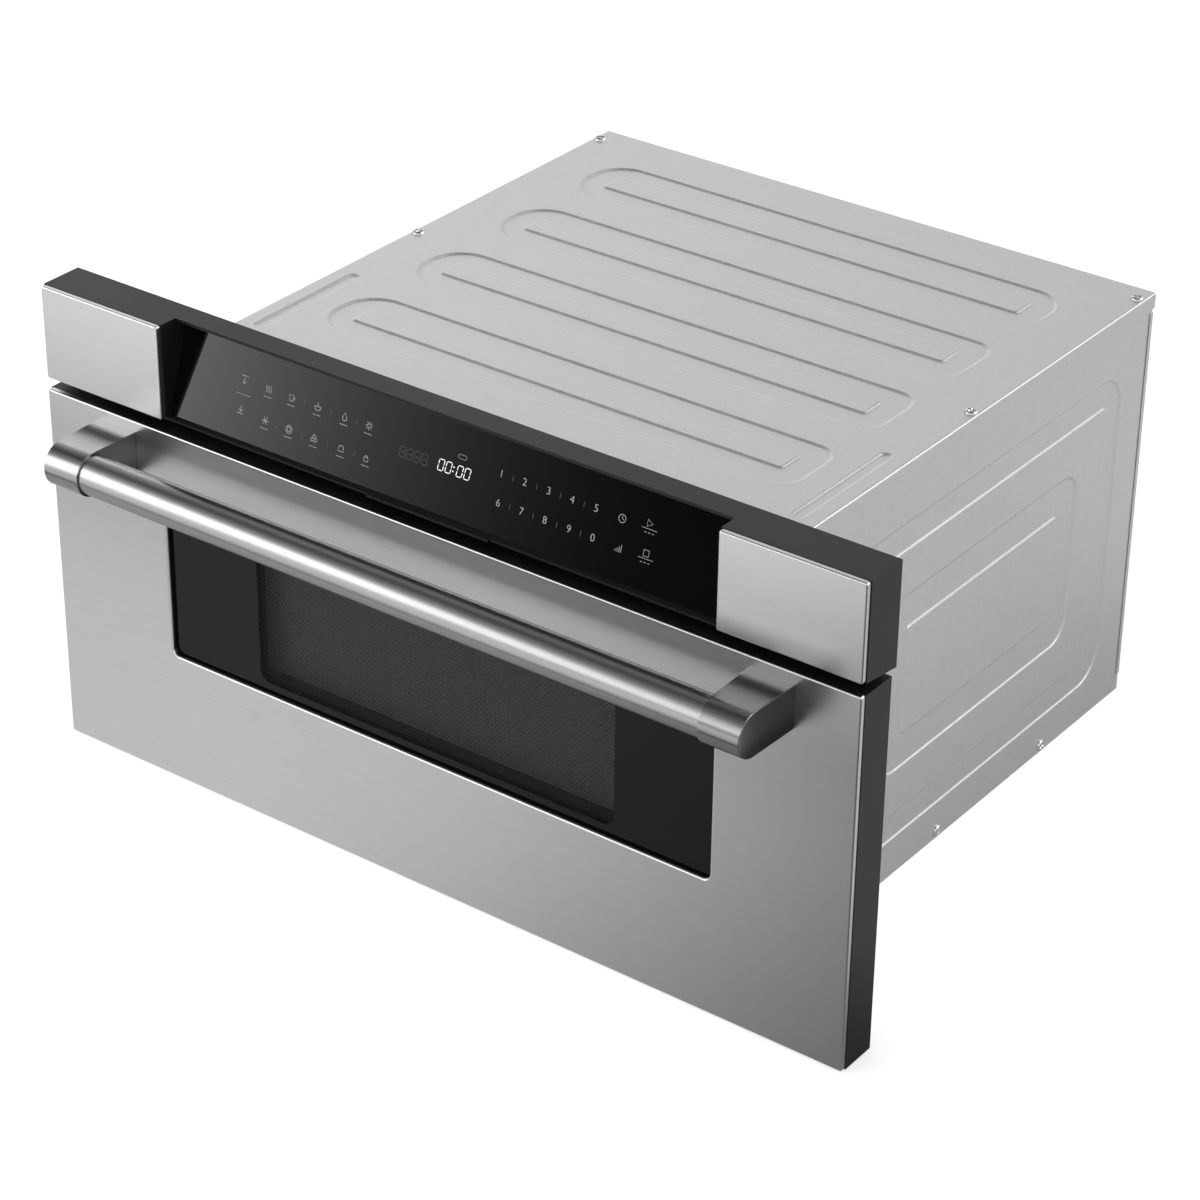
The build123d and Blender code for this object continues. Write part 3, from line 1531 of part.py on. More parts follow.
def rail_outer(side):
    """Fixed rail: a channel with lipped edges and two standoffs welded to the side wall."""
    with BuildPart() as rail:
        with BuildSketch(facing_front_at(rail_front)):
            with Locations((side * (rail_back_x - rail_width / 2), rail_lift)):
                Rectangle(rail_width, rail_height)
            with Locations((side * (rail_back_x - rail_sheet - rail_width / 2), rail_lift)):
                Rectangle(rail_width, rail_height - 2 * rail_sheet, mode=Mode.SUBTRACT)
            with Locations((side * (rail_back_x - rail_width + rail_sheet / 2), rail_lift)):
                with GridLocations(0, rail_height - 2 * rail_sheet - ball_lane / 2, 1, 2):
                    Rectangle(rail_sheet, ball_lane / 2)
        extrude(amount=-rail_length)
        with BuildSketch(facing_right(side * rail_back_x)):
            with Locations((rail_front + rail_length / 2, rail_lift)):
                with GridLocations(rail_length * 0.7, 0, 2, 1):
                    RectangleRounded(26, 14, 3)
        extrude(amount=side * rail_standoff)
    return rail.part


def rail_middle(side):
    """Middle rail: a channel with the ball strips of both lanes along its edges."""
    web_back = rail_back_x - rail_sheet - rail_gap
    depth = rail_width - rail_sheet - 2 * rail_gap
    with BuildPart() as rail:
        with BuildSketch(facing_front_at(rail_front + 2)):
            with Locations((side * (web_back - depth / 2), rail_lift)):
                Rectangle(depth, rail_mid_height)
            with Locations((side * (web_back - rail_sheet - depth / 2), rail_lift)):
                Rectangle(depth, rail_mid_height - 2 * rail_sheet, mode=Mode.SUBTRACT)
            with Locations((side * (web_back - depth / 2), rail_lift)):
                with GridLocations(0, rail_mid_height + ball_lane - rail_gap, 1, 2):
                    Rectangle(depth * 0.6, ball_lane - rail_gap)
                with GridLocations(0, rail_mid_height - 2 * rail_sheet - inner_lane + rail_gap, 1, 2):
                    Rectangle(depth * 0.6, inner_lane - rail_gap)
        extrude(amount=-mid_length)
    return rail.part


def rail_inner(side):
    """Moving rail: a channel that faces the wall, with its web towards the drawer."""
    depth = rail_width - 2 * rail_sheet - 2 * rail_gap
    web_face = inner_web_x
    with BuildPart() as rail:
        with BuildSketch(facing_front_at(inner_front)):
            with Locations((side * (web_face + depth / 2), rail_lift)):
                Rectangle(depth, rail_inner_height)
            with Locations((side * (web_face + rail_sheet + depth / 2), rail_lift)):
                Rectangle(depth, rail_inner_height - 2 * rail_sheet, mode=Mode.SUBTRACT)
        extrude(amount=-inner_length)
    return rail.part


plate_half = inner_web_x
plate_bottom = slide_opening_bottom + 6
plate_top = slide_opening_top - 2
tab_height = rail_inner_height - 4
cross_bottom = rail_lift + rail_inner_height / 2 - 8
cross_height = 18.0
cross_depth = 24.0
cross_y = inner_front + inner_length - cross_depth - 4


def drawer_front_bracket():
    """Folded plate screwed to the back of the door, with a tab for each moving rail."""
    tab_length = 40.0
    with BuildPart() as bracket:
        with BuildSketch(facing_front(door_depth + flange_sheet)):
            with Locations((0, (plate_bottom + plate_top) / 2)):
                Rectangle(2 * plate_half, plate_top - plate_bottom)
                with GridLocations(2 * plate_half / 4, 0, 4, 1):
                    SlotOverall(60, 18, mode=Mode.SUBTRACT)
        extrude(amount=flange_sheet)
        for side in (-1, 1):
            with BuildSketch(facing_right(side * plate_half)):
                with Locations((inner_front + tab_length / 2, rail_lift)):
                    Rectangle(tab_length, tab_height)
            extrude(amount=-side * flange_sheet)
    return bracket.part


def drawer_cross_member():
    """Channel that ties the back ends of the moving rails and carries the back of the rack."""
    with BuildPart() as member:
        with BuildSketch(facing_right(-plate_half)):
            with Locations((cross_y + cross_depth / 2, cross_bottom + cross_height / 2)):
                Rectangle(cross_depth, cross_height)
            with Locations((cross_y + cross_depth / 2, cross_bottom + cross_height / 2 + flange_sheet)):
                Rectangle(cross_depth - 2 * flange_sheet, cross_height, mode=Mode.SUBTRACT)
        extrude(amount=2 * plate_half)
    return member.part


for side, hand in ((-1, "left"), (1, "right")):
    save(rail_outer(side), f"rail_outer_{hand}")
    save(rail_middle(side), f"rail_middle_{hand}")
    save(rail_inner(side), f"rail_inner_{hand}")
save(drawer_front_bracket(), "drawer_front_bracket")
save(drawer_cross_member(), "drawer_cross_member")

# ================================================================ rack, pinion and gearmotor
tooth_pitch = pi * gear_module
addendum = gear_module
dedendum = 1.25 * gear_module
rack_top = cross_bottom
rack_start = inner_front
rack_end = cross_y + cross_depth
first_tooth_y = pinion_axis_y - 2.5 * tooth_pitch
rack_teeth = int((rack_end - first_tooth_y) / tooth_pitch)


def rack_outline():
    """Points of the rack in Y and Z: straight-sided teeth that point down, a space over the pinion's axis."""
    slope = tan(radians(pressure_angle))
    tip_half = tooth_pitch / 4 - addendum * slope - tooth_backlash / 2
    root_half = tooth_pitch / 4 + dedendum * slope - tooth_backlash / 2
    tip_z = rack_pitch_z - addendum
    root_z = rack_pitch_z + dedendum
    points = [(rack_end, rack_top), (rack_start, rack_top), (rack_start, root_z)]
    for tooth in range(rack_teeth):
        middle = first_tooth_y + tooth * tooth_pitch
        points += [
            (middle - root_half, root_z),
            (middle - tip_half, tip_z),
            (middle + tip_half, tip_z),
            (middle + root_half, root_z),
        ]
    points.append((rack_end, root_z))
    return points


def drive_rack():
    """Rack under the drawer, held by the front bracket and the cross member."""
    with BuildPart() as rack:
        with BuildSketch(facing_right(rack_x - rack_width / 2)):
            with BuildLine():
                Polyline(*rack_outline(), close=True)
            make_face()
        extrude(amount=rack_width)
    return rack.part


def involute(radius, base_radius):
    """Polar angle of an involute point at this radius, counted from where the curve starts."""
    slant = acos(min(base_radius / radius, 1.0))
    return tan(slant) - slant


def pinion_outline():
    """Points of the pinion about its axis: involute flanks with backlash, one tooth pointing up."""
    base = pitch_radius * cos(radians(pressure_angle))
    tip = pitch_radius + addendum
    root = pitch_radius - dedendum
    half_at_pitch = (tooth_pitch / 2 - tooth_backlash / 2) / (2 * pitch_radius)
    start = half_at_pitch + involute(pitch_radius, base)
    flank_radii = [base, base + (tip - base) * 0.35, base + (tip - base) * 0.7, tip]
    flank = [(root, start)] + [(radius, start - involute(radius, base)) for radius in flank_radii]
    points = []
    for tooth in range(pinion_teeth):
        middle = pi / 2 - 2 * pi * tooth / pinion_teeth
        left = [(radius, middle + half) for radius, half in flank]
        right = [(radius, middle - half) for radius, half in reversed(flank)]
        points += [(radius * cos(angle), radius * sin(angle)) for radius, angle in left + right]
    return points


gearbox_end_x = rack_x - rack_width / 2 - 9
gearbox_face_x = gearbox_end_x - bracket_sheet
pinion_overhang = 1.0  # how far the pinion stands out on each side of the rack
shaft_end_x = rack_x + rack_width / 2 + 3
box_middle = (pinion_axis_y + gearbox_offset[0], pinion_z + gearbox_offset[1])
bracket_middle_y = pinion_axis_y + gearbox_offset[0] + bracket_sheet


def drive_pinion():
    """Pinion and its shaft: spur teeth, hub, and the end that runs in the gearbox."""
    pinion_x = rack_x - rack_width / 2 - pinion_overhang
    pinion_plane = Plane(origin=(pinion_x, pinion_axis_y, pinion_z), x_dir=(0, 1, 0), z_dir=(1, 0, 0))
    shaft_x = gearbox_face_x - shaft_grip
    shaft_plane = pinion_plane.offset(shaft_x - pinion_x)
    with BuildPart() as pinion:
        with BuildSketch(pinion_plane):
            with BuildLine():
                Polyline(*pinion_outline(), close=True)
            make_face()
        extrude(amount=rack_width + 2 * pinion_overhang)
        with BuildSketch(shaft_plane):
            Circle(shaft_diameter / 2)
        extrude(amount=shaft_end_x - shaft_x)
    return pinion.part


def drive_motor():
    """Gearmotor: gearbox with the bore that carries the pinion's shaft, and the motor's can."""
    with BuildPart() as motor:
        with BuildSketch(facing_right(gearbox_face_x)):
            with Locations(box_middle):
                RectangleRounded(gearbox_size[1], gearbox_size[2], gearbox_size[2] / 8)
        extrude(amount=-gearbox_size[0])
        with BuildSketch(facing_right(gearbox_face_x - gearbox_size[0])):
            with Locations(box_middle):
                Circle(motor_diameter / 2)
        extrude(amount=-motor_length)
        chamfer(motor.faces().sort_by(Axis.X)[0].edges(), 3)
        with BuildSketch(facing_right(gearbox_face_x)):
            with Locations((pinion_axis_y, pinion_z)):
                Circle(shaft_diameter / 2 + shaft_fit)
        extrude(amount=-shaft_grip - 3, mode=Mode.SUBTRACT)
    return motor.part


def drive_bracket():
    """Angle on the base pan that holds the gearbox; the pinion's shaft passes through it."""
    upright_top = pinion_z + bracket_rise
    with BuildPart() as bracket:
        with BuildSketch(facing_right(gearbox_end_x)):
            with Locations((bracket_middle_y, (base_sheet + upright_top) / 2)):
                Rectangle(bracket_length, upright_top - base_sheet)
            with Locations((pinion_axis_y, pinion_z)):
                Circle(shaft_diameter * 0.75, mode=Mode.SUBTRACT)
        extrude(amount=-bracket_sheet)
        with BuildSketch(level(base_sheet)):
            with Locations((gearbox_end_x - bracket_foot / 2, bracket_middle_y)):
                Rectangle(bracket_foot, bracket_length)
                Circle(foot_hole / 2, mode=Mode.SUBTRACT)
        extrude(amount=bracket_sheet)
    return bracket.part


save(drive_rack(), "drive_rack")
save(drive_pinion(), "drive_pinion")
save(drive_motor(), "drive_motor")
save(drive_bracket(), "drive_bracket")

# ================================================================ latches and interlocks
hook_width = 5.0
hook_height = 14.0
hook_plate = 2.0
hook_base = (18.0, 34.0)
hook_nose = 11.0  # from the tip of a hook to the middle of its notch
hook_notch = 8.0
lever_y = cabinet_y + 31.5  # front face of a lever
lever_thickness = 5.0
lever_pivot_z = latch_z - 16
lever_pivot_y = lever_y + lever_thickness / 2
lever_top = latch_z + 18
lever_width = 4.0
pivot_diameter = 4.0
interlock_plate_x = latch_x + 9.0
switch_body = (10.0, 22.0, 20.0)
switch_gap = 7.0  # from a resting lever to the switch
switch_lift = 12.0
plunger = (4.0, 1.2, 3.0)


def latch_hooks():
    """Two hooks on the door's inner face that pass the flange's slots and press the levers."""
    reach = lever_y - fit_gap - back_of_door - hook_plate
    with BuildPart() as hooks:
        with BuildSketch(facing_front(door_depth + hook_plate)):
            with Locations((-latch_x - 3, latch_z), (latch_x + 3, latch_z)):
                RectangleRounded(*hook_base, hook_plate)
        extrude(amount=hook_plate)
        with BuildSketch(facing_front(door_depth + hook_plate)):
            with Locations((-latch_x, latch_z), (latch_x, latch_z)):
                Rectangle(hook_width, hook_height)
        extrude(amount=-reach)
        # notch behind the nose of each hook
        with BuildSketch(facing_right(-latch_x - hook_width)):
            with Locations((back_of_door + hook_plate + reach - hook_nose, latch_z + hook_height / 2)):
                Rectangle(hook_notch, hook_height * 0.6)
        extrude(amount=2 * (latch_x + hook_width), mode=Mode.SUBTRACT)
    return hooks.part


def interlock_brackets():
    """Two folded brackets behind the flange, each with the pin that a lever turns on."""
    plate_length = 74.0
    plate_height = 62.0
    foot = inner_x - edge_flange - part_gap - interlock_plate_x
    with BuildPart() as brackets:
        for side in (-1, 1):
            with BuildSketch(facing_right(side * interlock_plate_x)):
                with Locations((cabinet_y + plate_length / 2, latch_z)):
                    Rectangle(plate_length, plate_height)
            extrude(amount=side * base_sheet)
            with BuildSketch(facing_front_at(cabinet_y)):
                with Locations((side * (interlock_plate_x + foot / 2), latch_z)):
                    Rectangle(foot, plate_height)
            extrude(amount=-base_sheet)
            with BuildSketch(facing_right(side * interlock_plate_x)):
                with Locations((lever_pivot_y, lever_pivot_z)):
                    Circle(pivot_diameter / 2)
            extrude(amount=-side * (interlock_plate_x - latch_x + lever_width))
    return brackets.part


def interlock_switches():
    """A micro switch behind each lever, its plunger a little behind the lever's path."""
    switch_x = interlock_plate_x - switch_body[0] / 2
    switch_front = lever_y + lever_thickness + switch_gap
    switch_z = latch_z + switch_lift
    with BuildPart() as switches:
        with BuildSketch(facing_front_at(switch_front)):
            with Locations((-switch_x, switch_z), (switch_x, switch_z)):
                Rectangle(switch_body[0], switch_body[2])
        extrude(amount=-switch_body[1])
        with BuildSketch(facing_front_at(switch_front)):
            with Locations((-switch_x, switch_z + plunger[2]), (switch_x, switch_z + plunger[2])):
                Rectangle(plunger[0], plunger[2])
        extrude(amount=plunger[1])
    return switches.part


def interlock_lever(side):
    """Sprung lever on the bracket's pin: the hook pushes its face back against the switch."""
    with BuildPart() as lever:
        with BuildSketch(facing_right(side * (latch_x - lever_width / 2))):
            with Locations((lever_pivot_y, (lever_pivot_z + lever_top) / 2)):
                Rectangle(lever_thickness, lever_top - lever_pivot_z)
            with Locations((lever_pivot_y, lever_pivot_z)):
                Circle(lever_thickness * 0.8)
                Circle(pivot_diameter / 2 + shaft_fit, mode=Mode.SUBTRACT)
        extrude(amount=side * lever_width)
    return lever.part


save(latch_hooks(), "latch_hooks")
save(interlock_brackets(), "interlock_brackets")
save(interlock_switches(), "interlock_switches")
save(interlock_lever(-1), "interlock_lever_left")
save(interlock_lever(1), "interlock_lever_right")
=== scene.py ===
"""Looks of a built-in microwave drawer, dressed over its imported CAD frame.

Metres. +Z is up, the user stands on the -Y side, and +X is to the user's right.
Sizes that are written in millimetres go through MM.
"""

from __future__ import annotations

import json
import logging
import math
from dataclasses import dataclass, field
from enum import Enum
from typing import Any, Sequence

import bmesh
import bpy
import numpy as np
from mathutils import Matrix, Vector

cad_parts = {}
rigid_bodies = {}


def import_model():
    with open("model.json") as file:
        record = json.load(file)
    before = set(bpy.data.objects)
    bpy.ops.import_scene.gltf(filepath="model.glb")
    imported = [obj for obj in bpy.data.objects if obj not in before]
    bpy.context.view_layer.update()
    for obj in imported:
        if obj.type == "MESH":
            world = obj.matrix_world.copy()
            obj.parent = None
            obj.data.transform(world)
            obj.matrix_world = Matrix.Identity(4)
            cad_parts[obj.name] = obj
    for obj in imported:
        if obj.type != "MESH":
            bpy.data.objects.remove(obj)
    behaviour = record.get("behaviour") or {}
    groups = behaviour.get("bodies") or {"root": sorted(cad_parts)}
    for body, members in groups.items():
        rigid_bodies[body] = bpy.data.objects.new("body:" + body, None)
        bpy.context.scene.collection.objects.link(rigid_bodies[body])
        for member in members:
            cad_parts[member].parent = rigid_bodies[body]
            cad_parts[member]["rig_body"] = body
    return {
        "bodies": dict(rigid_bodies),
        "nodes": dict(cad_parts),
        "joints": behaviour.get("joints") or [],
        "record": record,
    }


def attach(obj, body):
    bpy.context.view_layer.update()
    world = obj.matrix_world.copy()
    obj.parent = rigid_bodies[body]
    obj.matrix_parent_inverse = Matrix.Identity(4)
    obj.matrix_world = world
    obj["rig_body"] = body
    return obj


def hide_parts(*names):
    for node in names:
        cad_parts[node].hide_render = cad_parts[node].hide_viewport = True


LOG = logging.getLogger("microwave_drawer")
MM = 0.001
Colour = tuple[float, float, float]
Span = tuple[float, float]
Array = np.ndarray
Surface = tuple[Array, Array]


# ---------------------------------------------------------------- shader maths
class Value:
    """A number that varies over a surface; its operators add Math nodes."""

    def __init__(self, graph: "Graph", socket: bpy.types.NodeSocket) -> None:
        """Keeps the graph and the socket that carries the number."""
        self.graph = graph
        self.socket = socket

    def math(self, operation: str, *others: Any) -> "Value":
        """Adds one Math node, with this value first and the others in its further sockets."""
        made = self.graph.node("ShaderNodeMath", {"operation": operation}, dict(enumerate((self, *others))))
        return Value(self.graph, made.outputs[0])

    def __add__(self, other: Any) -> "Value":
        """Sum."""
        return self.math("ADD", other)

    def __sub__(self, other: Any) -> "Value":
        """Difference."""
        return self.math("SUBTRACT", other)

    def __rsub__(self, other: float) -> "Value":
        """Difference with the number first."""
        made = self.graph.node("ShaderNodeMath", {"operation": "SUBTRACT"}, {0: other, 1: self})
        return Value(self.graph, made.outputs[0])

    def __mul__(self, other: Any) -> "Value":
        """Product."""
        return self.math("MULTIPLY", other)

    def __truediv__(self, other: Any) -> "Value":
        """Quotient."""
        return self.math("DIVIDE", other)

    def __abs__(self) -> "Value":
        """Size without sign."""
        return self.math("ABSOLUTE")

    def step(self, low: float, high: float) -> "Value":
        """Smooth step.

        Args:
            low: where the result is 0.
            high: where the result is 1; it may be below low.

        Returns:
            0 to 1, with a soft start and end.
        """
        near, far = (0.0, 1.0) if low < high else (1.0, 0.0)
        sockets = {"Value": self, "From Min": min(low, high), "From Max": max(low, high),
                   "To Min": near, "To Max": far}
        made = self.graph.node("ShaderNodeMapRange", {"interpolation_type": "SMOOTHSTEP"}, sockets)
        return Value(self.graph, made.outputs[0])

    __radd__ = __add__
    __rmul__ = __mul__


def swung(middle: float, *noises: tuple[Value, float]) -> Value:
    """Lets noises swing a number about its middle.

    Args:
        middle: the number.
        noises: each noise, which is 0.5 on average, and its weight.

    Returns:
        The number plus weight * (noise - 0.5) for each noise.
    """
    total = middle
    for noise, weight in noises:
        total = total + (noise - 0.5) * weight
    return total


class Graph:
    """The nodes of one material or world."""

    def __init__(self, tree: bpy.types.NodeTree) -> None:
        """Clears the tree and keeps it."""
        tree.nodes.clear()
        self.tree = tree

    def node(self, kind: str, settings: dict[str, Any] | None = None,
             sockets: dict[Any, Any] | None = None) -> bpy.types.Node:
        """Adds a node.

        Args:
            kind: the node's type.
            settings: its properties, which are set first.
            sockets: numbers, colours, sockets or Values for its inputs.

        Returns:
            The node.
        """
        made = self.tree.nodes.new(kind)
        for key, setting in (settings or {}).items():
            setattr(made, key, setting)
        for key, given in (sockets or {}).items():
            given = given.socket if isinstance(given, Value) else given
            if isinstance(given, bpy.types.NodeSocket):
                self.tree.links.new(given, made.inputs[key])
            else:
                made.inputs[key].default_value = given
        return made

    def coordinates(self, stretch: Sequence[float] = (1.0, 1.0, 1.0)) -> bpy.types.NodeSocket:
        """Object coordinates, scaled along X, Y and Z."""
        place = self.node("ShaderNodeTexCoord").outputs["Object"]
        return self.node("ShaderNodeMapping", {}, {"Vector": place, "Scale": tuple(stretch)}).outputs[0]

    def axes(self) -> tuple[Value, Value, Value]:
        """The three Object coordinates in millimetres."""
        place = self.coordinates((1000.0, 1000.0, 1000.0))
        return self.split(place)

    def split(self, vector: bpy.types.NodeSocket) -> tuple[Value, Value, Value]:
        """The three parts of a vector."""
        outputs = self.node("ShaderNodeSeparateXYZ", {}, {0: vector}).outputs
        return Value(self, outputs[0]), Value(self, outputs[1]), Value(self, outputs[2])

    def noise(self, lumps: float | Sequence[float], detail: float = 2.0, rough: float = 0.5) -> Value:
        """Soft noise.

        Args:
            lumps: per metre, as one number or along X, Y and Z.
            detail: octaves.
            rough: weight of each finer octave.

        Returns:
            Noise from 0 to 1, about 0.5 on average.
        """
        place = self.coordinates((lumps,) * 3 if isinstance(lumps, float) else lumps)
        sockets = {"Vector": place, "Scale": 1.0, "Detail": detail, "Roughness": rough}
        return Value(self, self.node("ShaderNodeTexNoise", {}, sockets).outputs[0])

    def cells(self, density: float) -> Value:
        """Random grey per crystal.

        Args:
            density: cells per metre.

        Returns:
            One number from 0 to 1 for each cell.
        """
        sockets = {"Vector": self.coordinates(), "Scale": density}
        made = self.node("ShaderNodeTexVoronoi", {"feature": "F1"}, sockets)
        split = self.node("ShaderNodeSeparateColor", {}, {0: made.outputs["Color"]})
        return Value(self, split.outputs[0])

    def blend(self, factor: Value, first: Colour, second: Colour) -> bpy.types.NodeSocket:
        """Mix of two linear colours: the first where the factor is 0, the second where it is 1."""
        sockets = {0: factor, 6: (*first, 1.0), 7: (*second, 1.0)}
        return self.node("ShaderNodeMix", {"data_type": "RGBA"}, sockets).outputs[2]

    def bump(self, height: Value, strength: float, distance: float) -> bpy.types.NodeSocket:
        """Normal of a relief from 0 to 1, with its share of effect and its depth in metres."""
        sockets = {"Height": height, "Strength": strength, "Distance": distance}
        return self.node("ShaderNodeBump", {}, sockets).outputs[0]

    def close(self, shader: bpy.types.Node, kind: str = "ShaderNodeOutputMaterial") -> None:
        """Joins the shader to the output."""
        self.node(kind, {}, {0: shader.outputs[0]})


# ---------------------------------------------------------------- finishes
class Along(Enum):
    """The axis that the lines of a brushed or rolled metal follow, by its number."""

    X = 0
    Y = 1
    Z = 2


@dataclass(frozen=True)
class Finish:
    """Base of all finishes: a name, a colour and a roughness."""

    name: str
    colour: Colour
    roughness: float = 0.5

    def material(self) -> bpy.types.Material:
        """Makes the material once.

        Returns:
            The Blender material of this finish.
        """
        known = bpy.data.materials.get(self.name)
        if known:
            return known
        made = bpy.data.materials.new(self.name)
        made.use_nodes = True
        graph = Graph(made.node_tree)
        graph.close(self.shader(graph))
        made.diffuse_color = (*self.colour, 1.0)
        return made

    def principled(self, graph: Graph, **sockets: Any) -> bpy.types.Node:
        """Adds the Principled shader.

        Args:
            graph: where it goes.
            sockets: inputs by name, with _ for each space.

        Returns:
            The shader node.
        """
        given = {key.replace("_", " "): value for key, value in sockets.items()}
        given.setdefault("Roughness", self.roughness)
        given.setdefault("Base Color", (*self.colour, 1.0))
        return graph.node("ShaderNodeBsdfPrincipled", {}, given)

    def tinted(self, graph: Graph, tone: Value, spread: float) -> bpy.types.NodeSocket:
        """Varies the finish's own colour.

        Args:
            graph: where the nodes go.
            tone: 0 for darker, 1 for lighter.
            spread: how far the two ends lie from the middle, as a share.

        Returns:
            The colour socket.
        """
        dark = tuple(c * (1.0 - spread) for c in self.colour)
        light = tuple(min(1.0, c * (1.0 + spread)) for c in self.colour)
        return graph.blend(tone, dark, light)

    def shader(self, graph: Graph) -> bpy.types.Node:
        """Builds the shader; each finish has its own."""
        raise NotImplementedError


@dataclass(frozen=True)
class Brushed(Finish):
    """Metal with fine drawn lines, as sheet, tube or rail; a bar may get painted shade on its underside."""

    along: Along = Along.X
    lines: float = 900.0
    spread: float = 0.06
    relief: float = 0.05
    # painted shade: the colour is darkened below a height in millimetres, standing in for a bar's shaded
    # underside
    underside_shade: float = 0.0
    underside_shade_top: float = 292.0
    underside_shade_reach: float = 17.0
    stretch: float = 45.0  # length of a line over its width
    hair: float = 3.1  # how much finer the hair lines are

    def shader(self, graph: Graph) -> bpy.types.Node:
        """Streaks in colour, gloss and relief over slow clouds; painted shade darkens the colour downwards
        from its top.

        Args:
            graph: the material's nodes.

        Returns:
            The shader node.
        """
        across = [self.lines] * 3
        across[self.along.value] /= self.stretch
        streaks = graph.noise(across, detail=4.0, rough=0.75)
        hair = graph.noise([self.hair * lumps for lumps in across], detail=2.0, rough=0.6)
        clouds = graph.noise(3.0, detail=2.0, rough=0.5)
        mixed = streaks * 0.5 + hair * 0.5
        tone = swung(0.5, (mixed, 1.8), (clouds, 0.4))
        gloss = swung(self.roughness, (mixed, 0.14), (clouds, 0.04))
        paint = self.tinted(graph, tone.step(0.0, 1.0), self.spread)
        if self.underside_shade:
            # painted shade: darker below the top height, as the shaded underside of the bar
            under = graph.axes()[2].step(self.underside_shade_top, self.underside_shade_top - self.underside_shade_reach)
            left = (1.0 - self.underside_shade,) * 3
            paint = graph.node("ShaderNodeMix", {"data_type": "RGBA", "blend_type": "MULTIPLY"},
                               {0: under, 6: paint, 7: (*left, 1.0)}).outputs[2]
        return self.principled(graph, Base_Color=paint, Metallic=1.0, Roughness=gloss,
                               Normal=graph.bump(mixed, strength=self.relief, distance=0.0003))


@dataclass(frozen=True)
class Zinc(Finish):
    """Zinc-coated sheet: small crystals, a fine dry grain and faint rolling lines."""

    metal: float = 0.75

    def shader(self, graph: Graph) -> bpy.types.Node:
        """Crystals and grain in colour and gloss.

        Args:
            graph: the material's nodes.

        Returns:
            The shader node.
        """
        crystals = graph.cells(260.0)
        grain = graph.noise(1500.0, detail=2.0, rough=0.6)
        rolled = graph.noise((4.0, 220.0, 220.0), detail=3.0, rough=0.6)
        clouds = graph.noise(2.5, detail=3.0, rough=0.5)
        tone = swung(0.5, (crystals, 0.25), (grain, 1.9), (rolled, 0.15), (clouds, 0.4))
        gloss = swung(self.roughness, (crystals, 0.08), (grain, 0.12))
        return self.principled(graph, Base_Color=self.tinted(graph, tone.step(0.0, 1.0), 0.09),
                               Metallic=self.metal, Roughness=gloss,
                               Normal=graph.bump(grain, strength=0.12, distance=0.0002))


@dataclass(frozen=True)
class Moulding(Finish):
    """Moulded plastic with a fine spark-eroded grain."""

    grain: float = 1800.0
    relief: float = 0.10
    shine: float = 0.5

    def shader(self, graph: Graph) -> bpy.types.Node:
        """Grain relief, with gloss that drifts slowly.

        Args:
            graph: the material's nodes.

        Returns:
            The shader node.
        """
        grain = graph.noise(self.grain, detail=2.0, rough=0.6)
        drift = graph.noise(9.0, detail=3.0, rough=0.5)
        gloss = swung(self.roughness, (drift, 0.12), (grain, 0.10))
        tone = swung(0.5, (drift, 0.9), (grain, 0.8))
        return self.principled(graph, Base_Color=self.tinted(graph, tone.step(0.0, 1.0), 0.12),
                               Roughness=gloss, Specular_IOR_Level=self.shine,
                               Normal=graph.bump(grain, strength=self.relief, distance=0.0002))


@dataclass(frozen=True)
class Glaze(Finish):
    """Smooth shiny cover: touch glass, glass-ceramic, enamel or a lamp, with a faint film and speckle."""

    speckle: float = 0.04
    film: float = 0.04
    wave: float = 0.0
    metal: float = 0.0

    def shader(self, graph: Graph) -> bpy.types.Node:
        """Speckled colour, and gloss that a wiped film dulls here and there.

        Args:
            graph: the material's nodes.

        Returns:
            The shader node.
        """
        dots = graph.noise(2200.0, detail=2.0, rough=0.7)
        wiped = graph.noise((10.0, 26.0, 26.0), detail=4.0, rough=0.6)
        wave = graph.noise(22.0, detail=1.0, rough=0.4)
        gloss = self.roughness + wiped.step(0.42, 0.8) * self.film
        tone = swung(0.5, (dots, 2.2))
        return self.principled(graph, Base_Color=self.tinted(graph, tone.step(0.0, 1.0), self.speckle),
                               Roughness=gloss, Metallic=self.metal,
                               Normal=graph.bump(wave, strength=self.wave, distance=0.001))


@dataclass(frozen=True)
class PrintedWindow(Finish):
    """Dark window glass with an opaque printed border round a clear opening."""

    opening_x: float = 171.0
    low_z: float = 125.0
    high_z: float = 251.0
    corner: float = 10.0
    fade: float = 0.6
    clear: float = 0.30
    shine: float = 0.18
    border: Colour = (0.008, 0.008, 0.0085)

    def shader(self, graph: Graph) -> bpy.types.Node:
        """Opaque outside a rounded rectangle, partly clear inside it, with a short fade between them.

        Args:
            graph: the material's nodes.

        Returns:
            The shader node.
        """
        x, _, z = graph.axes()
        over_x = (abs(x) - (self.opening_x - self.corner)).math("MAXIMUM", 0.0)
        middle = (self.low_z + self.high_z) / 2
        half = (self.high_z - self.low_z) / 2
        over_z = (abs(z - middle) - (half - self.corner)).math("MAXIMUM", 0.0)
        reach = (over_x * over_x + over_z * over_z).math("SQRT")
        border = reach.step(self.corner - self.fade, self.corner + self.fade)
        film = graph.noise(12.0, detail=3.0, rough=0.6)
        return self.principled(graph, Base_Color=graph.blend(border, self.colour, self.border),
                               Roughness=self.roughness + film.step(0.4, 0.8) * 0.03,
                               Specular_IOR_Level=self.shine,
                               Alpha=self.clear + border * (1.0 - self.clear))


